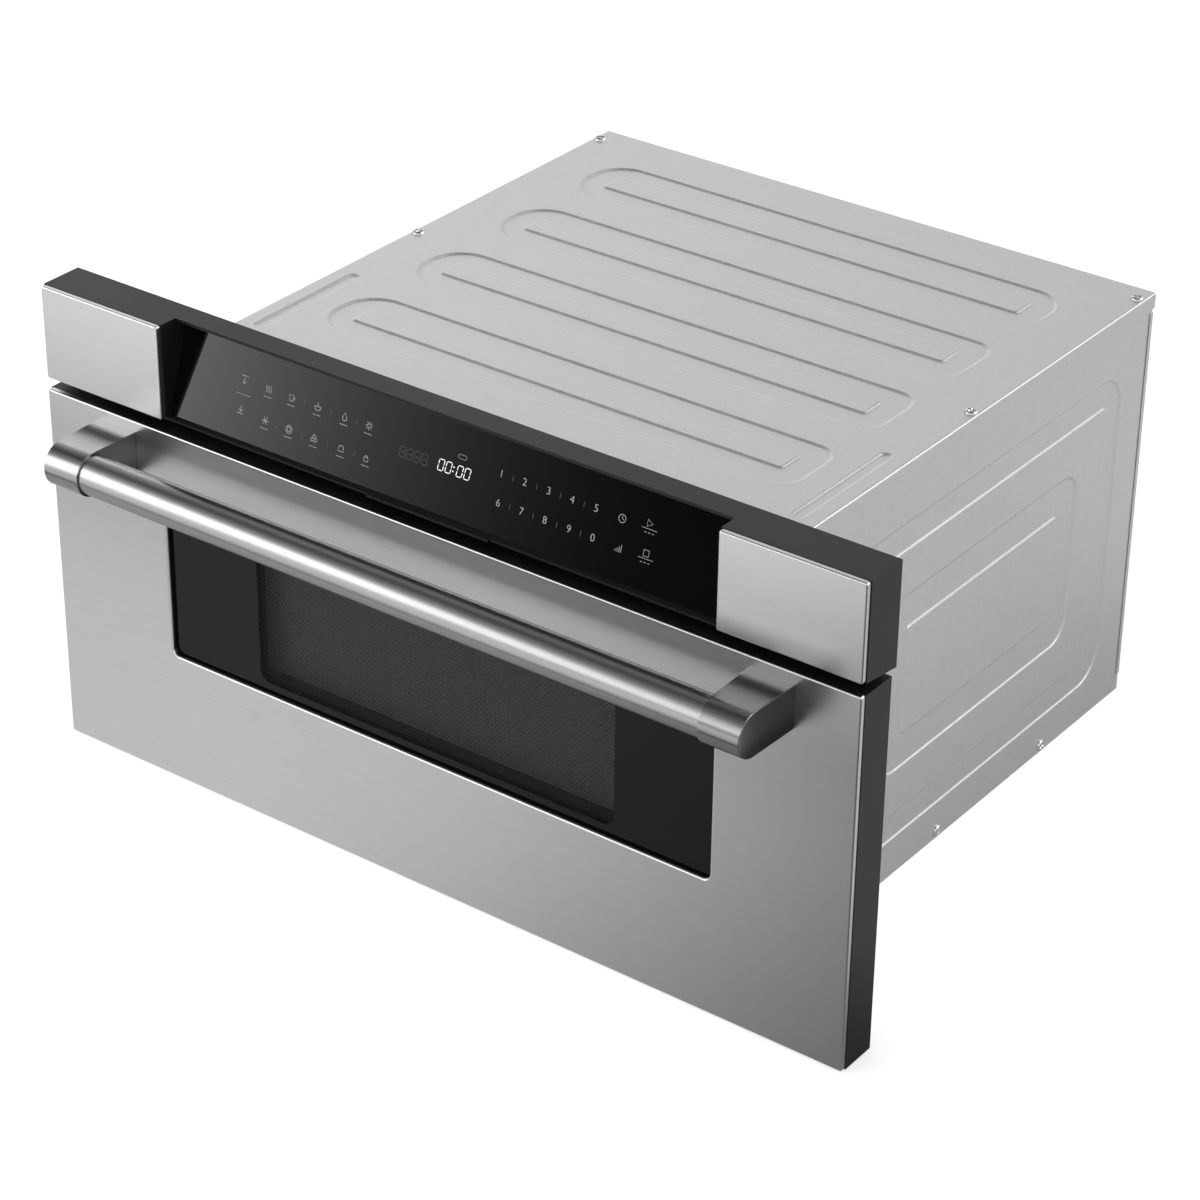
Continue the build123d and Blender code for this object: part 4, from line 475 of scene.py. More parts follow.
@dataclass(frozen=True)
class ClearPane(Finish):
    """Thin clear pane, seen mostly by its shine."""

    clear: float = 0.22

    def shader(self, graph: Graph) -> bpy.types.Node:
        """A nearly see-through pane with a faint film.

        Args:
            graph: the material's nodes.

        Returns:
            The shader node.
        """
        film = graph.noise(14.0, detail=3.0, rough=0.6)
        return self.principled(graph, Base_Color=self.tinted(graph, film, 0.05),
                               Roughness=self.roughness + film * 0.04, Alpha=film * 0.06 + self.clear)


@dataclass(frozen=True)
class Perforated(Finish):
    """Enamelled sheet with rows of round holes, each row half a step on from the last."""

    pitch: float = 2.5
    row: float = 0.866  # distance of two rows over the pitch
    hole: float = 0.33  # radius over the pitch
    edge: float = 0.05
    land: Colour = (0.34, 0.34, 0.345)

    def shader(self, graph: Graph) -> bpy.types.Node:
        """A hole is where the nearest point of a staggered lattice is closer than the hole's radius.

        Args:
            graph: the material's nodes.

        Returns:
            The shader node.
        """
        x, _, z = graph.axes()
        row = z / (self.pitch * self.row)
        shift = row.math("FLOOR").math("MODULO", 2.0).math("ABSOLUTE") * 0.5
        side = (x / self.pitch + shift).math("FRACT") - 0.5
        rise = (row.math("FRACT") - 0.5) * self.row
        away = (side * side + rise * rise).math("SQRT")
        land = away.step(self.hole - self.edge, self.hole + self.edge)
        # the holes are painted near-black instead of left open: painted shade of the dark inside seen
        # through them
        return self.principled(graph, Base_Color=graph.blend(land, self.colour, self.land), Metallic=0.3,
                               Roughness=self.roughness + land * 0.1,
                               Normal=graph.bump(land, strength=0.5, distance=0.0004))


@dataclass(frozen=True)
class Laminated(Finish):
    """Stacked varnished sheets of a core, with a copper-coloured blush where the winding shows."""

    sheets: float = 1300.0
    blush: Colour = (0.20, 0.13, 0.08)

    def shader(self, graph: Graph) -> bpy.types.Node:
        """Thin lines across Y, in colour and relief.

        Args:
            graph: the material's nodes.

        Returns:
            The shader node.
        """
        lines = graph.noise((3.0, self.sheets, 3.0), detail=2.0, rough=0.6)
        stain = graph.noise(60.0, detail=3.0, rough=0.6)
        tone = swung(0.5, (lines, 2.0), (stain, 1.0)).step(0.0, 1.0)
        return self.principled(graph, Base_Color=graph.blend(tone, self.colour, self.blush), Metallic=0.5,
                               Roughness=swung(self.roughness, (stain, 0.2)),
                               Normal=graph.bump(lines, strength=0.3, distance=0.0003))


@dataclass(frozen=True)
class Circuit(Finish):
    """Lacquered board with copper tracks under the lacquer."""

    track: Colour = (0.10, 0.34, 0.16)

    def shader(self, graph: Graph) -> bpy.types.Node:
        """Tracks are the thin lines between stretched cells.

        Args:
            graph: the material's nodes.

        Returns:
            The shader node.
        """
        sockets = {"Vector": graph.coordinates((420.0, 420.0, 900.0)), "Scale": 0.4}
        made = graph.node("ShaderNodeTexVoronoi", {"feature": "DISTANCE_TO_EDGE"}, sockets)
        tracks = Value(graph, made.outputs[0]).step(0.10, 0.04)
        return self.principled(graph, Base_Color=graph.blend(tracks, self.colour, self.track),
                               Roughness=self.roughness + tracks * 0.08,
                               Normal=graph.bump(tracks, strength=0.2, distance=0.0002))


@dataclass(frozen=True)
class Ink(Finish):
    """Printed or lit marks on the touch glass."""

    glow: float = 0.0

    def shader(self, graph: Graph) -> bpy.types.Node:
        """Slightly uneven print, which may glow.

        Args:
            graph: the material's nodes.

        Returns:
            The shader node.
        """
        patch = graph.noise(700.0, detail=2.0, rough=0.6)
        return self.principled(graph, Base_Color=self.tinted(graph, patch, 0.06),
                               Emission_Color=self.tinted(graph, patch, 0.04), Emission_Strength=self.glow,
                               Roughness=self.roughness + patch * 0.1)


STEEL = Brushed("stainless_brushed", (0.60, 0.60, 0.60), 0.31, relief=0.03)
# the handle tube and its brackets carry painted shade on their undersides
DRAWN = Brushed("drawn_handle_tube", (0.38, 0.38, 0.38), 0.30, lines=1100.0, spread=0.05, relief=0.04,
                underside_shade=0.68)
CHROME = Brushed("satin_chrome_casting", (0.31, 0.31, 0.31), 0.24, lines=1100.0, spread=0.04, relief=0.02,
                 underside_shade=0.55)
RAIL = Brushed("rolled_zinc_rail", (0.62, 0.63, 0.64), 0.34, Along.Y, lines=300.0, spread=0.08, relief=0.08)
SCREW = Brushed("plated_screw", (0.62, 0.62, 0.63), 0.26, Along.Z, lines=700.0, spread=0.10, relief=0.05)
DUCT = Brushed("rolled_duct_sheet", (0.68, 0.69, 0.70), 0.38, Along.Y, lines=260.0, relief=0.06)
ZINC = Zinc("galvanised_sheet", (0.63, 0.63, 0.63), 0.40)
BLACK = Moulding("charcoal_moulding", (0.012, 0.012, 0.0125), 0.42, shine=0.25)
GREY_PLASTIC = Moulding("pale_grey_moulding", (0.58, 0.585, 0.58), 0.50)
WHITE_PLASTIC = Moulding("white_gear_plastic", (0.80, 0.79, 0.74), 0.42)
MICA = Moulding("pale_cover_moulding", (0.70, 0.66, 0.56), 0.55, grain=900.0)
GEARMOTOR = Moulding("dark_motor_paint", (0.20, 0.21, 0.22), 0.45, grain=700.0, relief=0.05)
RUBBER = Moulding("soft_dark_seal", (0.035, 0.035, 0.036), 0.70, grain=900.0, relief=0.15)
TOUCH = Glaze("gloss_black_touch_glass", (0.003, 0.003, 0.0033), 0.035, speckle=0.05, film=0.015)
DISPLAY = Glaze("dark_display", (0.010, 0.013, 0.014), 0.12)
ENAMEL = Glaze("grey_cavity_enamel", (0.42, 0.42, 0.41), 0.30, speckle=0.14, film=0.10, wave=0.10)
CERAMIC = Glaze("pale_glass_ceramic", (0.66, 0.655, 0.63), 0.12, speckle=0.05, film=0.05)
LAMP = Glaze("lamp_glass", (0.80, 0.79, 0.73), 0.15)
WINDOW = PrintedWindow("tinted_window_glass", (0.020, 0.020, 0.022), 0.04)
PANE = ClearPane("clear_inner_pane", (0.80, 0.84, 0.83), 0.05)
# the screen's holes are painted near-black: painted shade of the dark inside behind them
SCREEN = Perforated("perforated_screen", (0.004, 0.004, 0.004), 0.45)
IRON = Laminated("varnished_laminations", (0.10, 0.095, 0.09), 0.45)
BOARD = Circuit("green_circuit_board", (0.03, 0.13, 0.06), 0.35)
INK = Ink("printed_marks", (0.50, 0.505, 0.51), 0.5, glow=0.12)
TICK_INK = Ink("faint_ticks", (0.20, 0.20, 0.205), 0.5)
FAINT_INK = Ink("unlit_segments", (0.028, 0.028, 0.030), 0.4)
LIT = Ink("lit_clock_digits", (0.86, 0.90, 0.93), 0.5, glow=0.85)


# ---------------------------------------------------------------- numpy surfaces
def grid(points: Array, wrap: bool = False) -> Surface:
    """Turns a grid of points into quads.

    Args:
        points: array of rows by columns by 3; a face's normal is (next row) x (next column).
        wrap: whether the last column joins the first.

    Returns:
        Vertices and quads: face (i, j) has corners (i, j), (i + 1, j), (i + 1, j + 1) and (i, j + 1).
    """
    rows, columns = points.shape[:2]
    numbers = np.arange(rows * columns).reshape(rows, columns)
    if wrap:
        numbers = np.concatenate([numbers, numbers[:, :1]], axis=1)
    quads = np.stack([numbers[:-1, :-1], numbers[1:, :-1], numbers[1:, 1:], numbers[:-1, 1:]], axis=-1)
    return points.reshape(-1, 3), quads.reshape(-1, 4)


def joined(surfaces: Sequence[Surface]) -> Surface:
    """Puts surfaces into one list of vertices and faces.

    Args:
        surfaces: the parts, with the same number of corners per face.

    Returns:
        One surface.
    """
    starts = np.cumsum([0] + [len(points) for points, _ in surfaces[:-1]])
    points = np.concatenate([points for points, _ in surfaces])
    faces = np.concatenate([faces + start for (_, faces), start in zip(surfaces, starts)])
    return points, faces


def turned(profile: Array, origin: Sequence[float], axis: Sequence[float], steps: int) -> Surface:
    """Surface of revolution.

    A point of the profile (radius r, height h) at angle a goes to
    origin + h * axis + r (cos a * side + sin a * up).

    Args:
        profile: rows of radius and height; it starts and ends at radius 0 for a closed shape.
        origin: foot of the axis.
        axis: unit direction of the height.
        steps: columns round the axis.

    Returns:
        The surface, facing outwards where the height grows along the profile.
    """
    along = np.asarray(axis, float)
    other = np.array([0.0, 0.0, 1.0]) if abs(along[2]) < 0.9 else np.array([1.0, 0.0, 0.0])
    side = np.cross(other, along)
    side /= np.linalg.norm(side)
    up = np.cross(along, side)
    angle = np.linspace(0.0, 2 * np.pi, steps, endpoint=False)
    ring = np.cos(angle)[:, None] * side + np.sin(angle)[:, None] * up
    height, radius = profile[:, 1, None, None], profile[:, 0, None, None]
    points = np.asarray(origin, float) + height * along + radius * ring[None]
    return grid(points[::-1], wrap=True)


def rounded_distance(across: Array, along: Array, size: Sequence[float], corner: float) -> Array:
    """Signed distance to a rounded rectangle about the origin.

    The distance is the length of max(|p| - half + corner, 0), plus the inner part min(max(...), 0),
    less the corner.

    Args:
        across: first coordinate of each point.
        along: second coordinate of each point.
        size: full width and height.
        corner: corner radius.

    Returns:
        Distances, negative inside.
    """
    over_x = np.abs(across) - size[0] / 2 + corner
    over_y = np.abs(along) - size[1] / 2 + corner
    outside = np.hypot(np.maximum(over_x, 0.0), np.maximum(over_y, 0.0))
    return outside + np.minimum(np.maximum(over_x, over_y), 0.0) - corner


def eased(distance: Array, width: float) -> Array:
    """Smooth step across an edge.

    With t = distance / width + 1/2, clipped to 0..1, the value is t * t * (3 - 2 t).

    Args:
        distance: signed distance to the edge.
        width: width of the slope.

    Returns:
        0 inside, 1 outside.
    """
    share = np.clip(distance / width + 0.5, 0.0, 1.0)
    return share * share * (3.0 - 2.0 * share)


def lines_between(low: float, high: float, dense: Sequence[Span], fine: float, coarse: float) -> Array:
    """Grid lines, fine inside the dense spans and coarse between them.

    Args:
        low: first line.
        high: last line.
        dense: spans that get fine lines.
        fine: spacing inside the spans.
        coarse: spacing elsewhere.

    Returns:
        Sorted places of the lines.
    """
    runs = [np.linspace(a, b, max(2, int(round((b - a) / fine)) + 1)) for a, b in dense]
    runs.append(np.linspace(low, high, max(2, int(round((high - low) / coarse)) + 1)))
    places = np.unique(np.round(np.concatenate(runs), 4))
    slack, closest = 1e-3, 0.45 * fine
    places = places[(places >= low - slack) & (places <= high + slack)]
    return places[np.concatenate([[True], np.diff(places) > closest])]


def stroke(points: Array, width: float) -> Surface:
    """Flat line of a given width in a plane.

    Each point is moved to both sides by width / 2 along the normal of its tangent.

    Args:
        points: rows of u and v; a closed line repeats its first point.
        width: width of the line.

    Returns:
        Surface with the third coordinate 0, facing +w.
    """
    points = np.asarray(points, float)
    tangent = np.gradient(points, axis=0)
    if np.allclose(points[0], points[-1]):
        tangent[0] = tangent[-1] = points[1] - points[-2]
    tangent /= np.linalg.norm(tangent, axis=1)[:, None] + 1e-12
    normal = np.stack([-tangent[:, 1], tangent[:, 0]], axis=1) * width / 2
    rails = np.stack([points - normal, points + normal], axis=1)
    flat = np.concatenate([rails, np.zeros(rails.shape[:2] + (1,))], axis=2)
    return grid(flat)


def arc(middle: Sequence[float], radius: float, start: float, end: float, steps: int = 20) -> Array:
    """Points of a circle's arc.

    The point at angle a is middle + radius * (cos a, sin a).

    Args:
        middle: centre.
        radius: radius.
        start: first angle in degrees.
        end: last angle in degrees.
        steps: number of points.

    Returns:
        Rows of u and v.
    """
    angle = np.radians(np.linspace(start, end, steps))
    return np.stack([middle[0] + radius * np.cos(angle), middle[1] + radius * np.sin(angle)], axis=1)


# ---------------------------------------------------------------- pieces
def smoothed(mesh: bpy.types.Mesh, finish: Finish, sharp: float, merge: float, sliver: float) -> None:
    """Merges a mesh's doubled points, shades it smoothly and gives it its finish.

    Args:
        mesh: the mesh.
        finish: its finish.
        sharp: angle in degrees over which an edge stays sharp.
        merge: distance in metres under which points become one.
        sliver: length in metres under which an edge is dropped.
    """
    made = bmesh.new()
    made.from_mesh(mesh)
    bmesh.ops.remove_doubles(made, verts=made.verts, dist=merge)
    bmesh.ops.dissolve_degenerate(made, edges=made.edges, dist=sliver)
    made.to_mesh(mesh)
    made.free()
    mesh.shade_smooth()
    mesh.set_sharp_from_angle(angle=math.radians(sharp))
    mesh.materials.clear()
    mesh.materials.append(finish.material())


def riding_piece(name: str, mesh: bpy.types.Mesh, body: str,
                 replaced: Sequence[str] = ()) -> bpy.types.Object:
    """Makes an object at the origin that rides on a CAD body.

    Args:
        name: the piece's name.
        mesh: its mesh.
        body: the CAD body it rides on.
        replaced: CAD nodes that it stands for.

    Returns:
        The object.
    """
    piece = bpy.data.objects.new(name, mesh)
    bpy.context.scene.collection.objects.link(piece)
    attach(piece, body)
    if replaced:
        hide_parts(*replaced)
    LOG.info("%s: %d faces, %s", name, len(mesh.polygons), mesh.materials[0].name)
    return piece


def finished_piece(name: str, surface: Surface, finish: Finish, body: str,
                   replaced: Sequence[str] = (), sharp: float = 32.0) -> bpy.types.Object:
    """Makes an object from a surface, gives it its finish and its body.

    Args:
        name: the piece's name.
        surface: vertices in metres and faces.
        finish: its finish.
        body: the CAD body it rides on.
        replaced: CAD nodes that it stands for.
        sharp: angle in degrees over which an edge stays sharp.

    Returns:
        The object, at the origin.
    """
    points, faces = surface
    mesh = bpy.data.meshes.new(name)
    mesh.from_pydata(points.tolist(), [], faces.tolist())
    smoothed(mesh, finish, sharp, 1e-7, 1e-8)
    return riding_piece(name, mesh, body, replaced)


def sharpen_borders(mesh: bpy.types.Mesh) -> None:
    """Marks a sheet's open edges as sharp, so that its rim isn't shaded into its face.

    Args:
        mesh: the sheet's mesh; an open edge is one that a single face uses.
    """
    used = np.empty(len(mesh.loops), np.int32)
    mesh.loops.foreach_get("edge_index", used)
    sharp = np.empty(len(mesh.edges), bool)
    mesh.edges.foreach_get("use_edge_sharp", sharp)
    mesh.edges.foreach_set("use_edge_sharp", sharp | (np.bincount(used, minlength=len(sharp)) == 1))


def thickened(piece: bpy.types.Object, depth: float) -> bpy.types.Object:
    """Gives a sheet its thickness, inwards.

    Args:
        piece: the sheet, facing outwards.
        depth: thickness in metres.

    Returns:
        The same piece.
    """
    sharpen_borders(piece.data)
    wall = piece.modifiers.new("wall", "SOLIDIFY")
    wall.thickness = depth
    wall.offset = -1.0
    wall.use_even_offset = True
    return piece


@dataclass
class Frame:
    """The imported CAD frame, and how its nodes are dressed."""

    loaded: dict[str, Any]
    slots: dict[str, str] = field(init=False)

    def __post_init__(self) -> None:
        """Reads each node's slot from the record."""
        self.slots = {row["node"]: row["material_slot"] for row in self.loaded["record"]["subparts"]}

    def body(self, node: str) -> str:
        """Name of the body that holds a node."""
        return self.loaded["nodes"][node]["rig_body"]

    def dress(self, finish: Finish, *names: str) -> None:
        """Puts a finish on CAD nodes whose shape is right.

        Args:
            finish: the finish.
            names: the nodes.
        """
        for name in names:
            mesh = self.loaded["nodes"][name].data
            mesh.materials.clear()
            mesh.materials.append(finish.material())
            LOG.info("%s: CAD shape, %s", name, finish.name)

    def polish(self, finish: Finish, *names: str, sharp: float = 28.0) -> None:
        """Stands a merged, smoothly shaded copy for CAD nodes with rounded faces.

        Args:
            finish: the finish.
            names: the nodes.
            sharp: angle in degrees over which an edge stays sharp.
        """
        for name in names:
            mesh = self.loaded["nodes"][name].data.copy()
            mesh.name = name + "_smooth"
            if mesh.attributes.get("custom_normal"):
                mesh.attributes.remove(mesh.attributes["custom_normal"])
            smoothed(mesh, finish, sharp, 2e-6, 1e-7)
            piece = riding_piece(name + "_smooth", mesh, self.body(name), [name])
            even = piece.modifiers.new("even_normals", "WEIGHTED_NORMAL")
            even.keep_sharp = True
            even.weight = 90


@dataclass
class TouchPlane:
    """The touch glass's front face as a drawing plane in millimetres: u to the right, v up the slope."""

    foot: tuple[float, float, float] = (0.0, -257.6, 327.9)
    tilt: float = 17.5
    lift: float = 0.06

    def placed(self, surface: Surface, u: float = 0.0, v: float = 0.0, lean: float = 0.0) -> Surface:
        """Lays a flat surface on the glass.

        A point (a, b) goes to foot + (u + a + lean * b) * U + (v + b) * V + lift * N.

        Args:
            surface: flat surface in millimetres.
            u: place across the glass.
            v: place up the glass.
            lean: slant of the drawing to the right per unit of height.

        Returns:
            The surface in metres.
        """
        points, faces = surface
        slope = math.radians(self.tilt)
        across = np.array([1.0, 0.0, 0.0])
        up = np.array([0.0, math.sin(slope), math.cos(slope)])
        out = np.array([0.0, -math.cos(slope), math.sin(slope)])
        right = (points[:, 0] + u + lean * points[:, 1])[:, None]
        high = (points[:, 1] + v)[:, None]
        placed = np.array(self.foot) + right * across + high * up + self.lift * out
        return placed * MM, faces


class Icon(Enum):
    """Simple signs for the keys, each a list of lines in a box of about two units."""

    STEAM = "steam"
    FROST = "frost"
    CUP = "cup"
    FLAME = "flame"
    BOWL = "bowl"
    PLATE = "plate"
    BELL = "bell"
    LOCK = "lock"
    FAN = "fan"
    SUN = "sun"
    CLOCK = "clock"
    LEVEL = "level"
    PLAY = "play"
    SQUARE = "square"
    OUTWARD = "outward"
    INWARD = "inward"

    def lines(self) -> list[Any]:
        """The sign's lines.

        Returns:
            A list of polylines, rows of u and v.
        """
        wave = np.stack([0.18 * np.sin(np.linspace(0, 2 * np.pi, 14)), np.linspace(-0.8, 0.8, 14)], axis=1)
        spokes = [np.array([math.cos(a), math.sin(a)]) for a in (0.0, 1.047, 2.094)]
        beams = [np.array([math.cos(a), math.sin(a)]) for a in np.linspace(0, 2 * np.pi, 8, endpoint=False)]
        ring = arc((0.0, 0.0), 0.9, 0, 360, 28)
        drawings = {
            Icon.STEAM: [wave + (-0.6, 0.0), wave, wave + (0.6, 0.0)],
            Icon.FROST: [[-end, end] for end in spokes],
            Icon.CUP: [[(-0.7, 0.6), (-0.55, -0.8), (0.35, -0.8), (0.5, 0.6), (-0.7, 0.6)],
                       arc((0.5, 0.0), 0.4, -80, 80, 12)],
            Icon.FLAME: [[*arc((0.0, -0.3), 0.6, 40, -220, 22), (0.0, 1.0), (0.46, 0.09)]],
            Icon.BOWL: [arc((0.0, 0.1), 0.9, 180, 360, 18), [(-1.0, 0.1), (1.0, 0.1)],
                        wave * 0.45 + (0, 0.65)],
            Icon.PLATE: [ring, arc((0.0, 0.0), 0.5, 0, 360, 20)],
            Icon.BELL: [[*arc((0.0, 0.1), 0.65, 0, 180, 16), (-0.9, -0.6), (0.9, -0.6), (0.65, 0.1)]],
            Icon.LOCK: [[(-0.6, 0.1), (-0.6, -0.8), (0.6, -0.8), (0.6, 0.1), (-0.6, 0.1)],
                        arc((0.0, 0.1), 0.4, 0, 180, 12)],
            Icon.FAN: [arc((0.0, 0.5), 0.42, -90, 250, 18), arc((0.43, -0.25), 0.42, 150, 490, 18),
                       arc((-0.43, -0.25), 0.42, 30, 370, 18)],
            Icon.SUN: [arc((0.0, 0.0), 0.48, 0, 360, 20), *[[0.72 * end, 1.05 * end] for end in beams]],
            Icon.CLOCK: [ring, [(0.0, 0.6), (0.0, 0.0), (0.45, -0.2)]],
            Icon.LEVEL: [[(x, -0.8), (x, high)]
                         for x, high in ((-0.75, -0.3), (-0.25, 0.1), (0.25, 0.5), (0.75, 0.9))],
            Icon.PLAY: [[(-0.6, -0.8), (0.8, 0.0), (-0.6, 0.8), (-0.6, -0.8)]],
            Icon.SQUARE: [[(-0.7, -0.7), (0.7, -0.7), (0.7, 0.7), (-0.7, 0.7), (-0.7, -0.7)]],
            Icon.OUTWARD: [[(-0.9, 0.8), (0.9, 0.8)], [(0.0, 0.45), (0.0, -0.9)],
                           [(-0.5, -0.4), (0.0, -0.9), (0.5, -0.4)]],
            Icon.INWARD: [[(-0.9, -0.8), (0.9, -0.8)], [(0.0, 0.9), (0.0, -0.45)],
                          [(-0.5, 0.05), (0.0, -0.45), (0.5, 0.05)]],
        }
        return drawings[self]


@dataclass(frozen=True)
class SegmentStyle:
    """Digits of seven bars: the first one's place, their size and gap in millimetres, and their slant."""

    u: float
    v: float
    width: float
    height: float
    gap: float
    lean: float
    bar: float = 0.62
    inset: float = 0.45
    colon: Span = (0.3, 0.7)
    colon_dot: float = 1.0
    colon_width: float = 1.4


@dataclass
class ControlPanel:
    """The fixed head over the drawer: housing, steel tiles, tilted touch glass and its printed keys."""

    frame: Frame
    plane: TouchPlane = field(default_factory=TouchPlane)
    line: float = 0.5
    icon_size: float = 3.3
    digit_size: float = 8.2
    digit_offset: float = -0.06
    tick: float = 2.1
    thin: float = 0.3
    dot: Span = (1.6, 0.5)
    dot_step: float = 3.2
    key_bar: Span = (7.5, 0.45)
    top_v: float = 45.5
    low_v: float = 21.4
    low_digit_v: float = 24.1
    top_bar_v: float = 39.4
    low_bar_v: float = 15.3
    top_row: tuple[float, ...] = (-168.2, -145.6, -120.1, -94.0, -70.5)
    low_row: tuple[float, ...] = (-166.8, -143.3, -118.7, -92.3, -68.2)
    top_digits: tuple[float, ...] = (53.1, 74.1, 95.7, 116.7, 137.9)
    low_digits: tuple[float, ...] = (54.8, 75.9, 97.0, 118.5, 139.6)
    top_signs: tuple[Icon, ...] = (Icon.STEAM, Icon.CUP, Icon.BOWL, Icon.FLAME, Icon.SUN)
    low_signs: tuple[Icon, ...] = (Icon.FROST, Icon.PLATE, Icon.FAN, Icon.BELL, Icon.LOCK)
    # sign, u, v and scale
    end_signs: tuple[tuple[Icon, float, float, float], ...] = (
        (Icon.OUTWARD, -192.4, 46.2, 1.1), (Icon.INWARD, -191.6, 23.0, 1.1), (Icon.CLOCK, 160.8, 45.2, 1.0),
        (Icon.LEVEL, 162.3, 23.6, 1.0), (Icon.PLAY, 184.0, 48.6, 1.0), (Icon.SQUARE, 185.8, 27.2, 1.0))
    # u, v, width and height
    end_bars: tuple[tuple[float, float, float, float], ...] = (
        (184.4, 44.6, 13.0, 0.35), (186.0, 23.2, 13.0, 0.35), (-192.0, 34.8, 14.0, 0.3))
    dotted: tuple[Span, ...] = ((184.8, 41.8), (186.0, 20.4))
    pill: Span = (17.0, 47.4)
    pill_half: float = 2.3
    pill_radius: float = 1.5
    unlit: SegmentStyle = SegmentStyle(-39.0, 31.6, 5.0, 8.0, 1.9, 0.0)
    lit: SegmentStyle = SegmentStyle(-3.4, 32.2, 4.8, 8.4, 2.1, 0.12)

    def build(self) -> None:
        """Dresses the nodes and draws the keys."""
        self.frame.dress(BLACK, "control_housing", "sensor_lip")
        self.frame.polish(STEEL, "control_tile_left", "control_tile_right")
        self.frame.polish(TOUCH, "control_glass")
        self.frame.dress(DISPLAY, "display_module")
        self.frame.dress(BOARD, "control_board")
        for name, surface, finish in (
                ("key_marks", self.key_marks(), INK), ("key_digits", self.key_digits(), INK),
                ("key_ticks", self.ticks(), TICK_INK),
                ("unlit_digits", self.segments("8888", self.unlit), FAINT_INK),
                ("clock_digits", self.segments("00:00", self.lit), LIT)):
            finished_piece(name, surface, finish, "cabinet")

    def icon(self, kind: Icon, u: float, v: float, scale: float = 1.0) -> Surface:
        """One sign on the glass.

        Args:
            kind: which sign.
            u: place across.
            v: place up.
            scale: size against the usual one.

        Returns:
            The surface in metres.
        """
        size = self.icon_size * scale
        drawn = joined([stroke(np.array(line) * size, self.line) for line in kind.lines()])
        return self.plane.placed(drawn, u, v)

    def bar(self, u: float, v: float, width: float, height: float) -> Surface:
        """A plain rectangle on the glass, about (u, v), in metres."""
        ends = np.array([[-width / 2, 0.0], [width / 2, 0.0]])
        return self.plane.placed(stroke(ends, height), u, v)

    def key_marks(self) -> Surface:
        """Signs of the keys.

        Returns:
            All signs as one surface.
        """
        marks = [self.icon(kind, u, self.top_v) for kind, u in zip(self.top_signs, self.top_row)]
        marks += [self.icon(kind, u, self.low_v) for kind, u in zip(self.low_signs, self.low_row)]
        marks += [self.icon(*sign) for sign in self.end_signs]
        marks += [self.bar(*bar) for bar in self.end_bars]
        steps = (-self.dot_step, 0.0, self.dot_step)
        marks += [self.bar(u + shift, v, *self.dot) for u, v in self.dotted for shift in steps]
        rows = ((self.top_row, self.top_bar_v), (self.low_row, self.low_bar_v))
        marks += [self.bar(u, v, *self.key_bar) for row, v in rows for u in row]
        half, radius = self.pill_half, self.pill_radius
        pill = [*arc((half, 0.0), radius, -90, 90, 10), *arc((-half, 0.0), radius, 90, 270, 10),
                (half, -radius)]
        marks.append(self.plane.placed(stroke(pill, self.thin), *self.pill))
        return joined(marks)

    def key_digits(self) -> Surface:
        """Numbers 1 to 9 and 0, as flat text made into a mesh.

        Returns:
            All numbers as one surface of triangles.
        """
        rows = [(text, u, self.top_v) for text, u in zip("12345", self.top_digits)]
        rows += [(text, u, self.low_digit_v) for text, u in zip("67890", self.low_digits)]
        made = []
        for text, u, v in rows:
            curve = bpy.data.curves.new("digit", "FONT")
            curve.body = text
            curve.size = self.digit_size
            curve.offset = self.digit_offset
            curve.align_x = "CENTER"
            curve.align_y = "CENTER"
            lettering = bpy.data.objects.new("digit", curve)
            bpy.context.scene.collection.objects.link(lettering)
            bpy.context.view_layer.update()
            mesh = bpy.data.meshes.new_from_object(lettering)
            mesh.calc_loop_triangles()
            points = np.empty(len(mesh.vertices) * 3)
            mesh.vertices.foreach_get("co", points)
            faces = np.empty(len(mesh.loop_triangles) * 3, int)
            mesh.loop_triangles.foreach_get("vertices", faces)
            made.append(self.plane.placed((points.reshape(-1, 3), faces.reshape(-1, 3)), u, v))
            bpy.data.objects.remove(lettering)
            bpy.data.curves.remove(curve)
            bpy.data.meshes.remove(mesh)
        return joined(made)

    def ticks(self) -> Surface:
        """Short faint lines between neighbouring keys.

        Returns:
            All ticks as one surface.
        """
        rows = ((self.top_row, self.top_v), (self.low_row, self.low_v), (self.top_digits, self.top_v),
                (self.low_digits, self.low_digit_v))
        upright = stroke([(0.0, -self.tick), (0.0, self.tick)], self.thin)
        pairs = [((a + b) / 2, v) for row, v in rows for a, b in zip(row, row[1:])]
        return joined([self.plane.placed(upright, u, v) for u, v in pairs])

    def segments(self, text: str, style: SegmentStyle) -> Surface:
        """Digits of seven bars.

        Args:
            text: digits and colons.
            style: where and how they stand.

        Returns:
            The surface in metres.
        """
        width, height, half = style.width, style.height, style.height / 2
        places = {"a": ((0, height), (width, height)), "b": ((width, half), (width, height)),
                  "c": ((width, 0), (width, half)), "d": ((0, 0), (width, 0)), "e": ((0, 0), (0, half)),
                  "f": ((0, half), (0, height)), "g": ((0, half), (width, half))}
        bars = {"0": "abcdef", "8": "abcdefg"}
        u = style.u
        made = []
        for sign in text:
            if sign == ":":
                for rise in style.colon:
                    ends = [(0.0, height * rise + reach * style.colon_dot) for reach in (-0.5, 0.5)]
                    dot = stroke(ends, style.colon_dot)
                    made.append(self.plane.placed(dot, u, style.v, style.lean))
                u += style.gap + style.colon_width
                continue
            for bar in bars[sign]:
                a, b = (np.array(end, float) for end in places[bar])
                inset = (b - a) / np.linalg.norm(b - a) * style.inset
                drawn = stroke(np.array([a + inset, b - inset]), style.bar)
                made.append(self.plane.placed(drawn, u, style.v, style.lean))
            u += width + style.gap
        return joined(made)


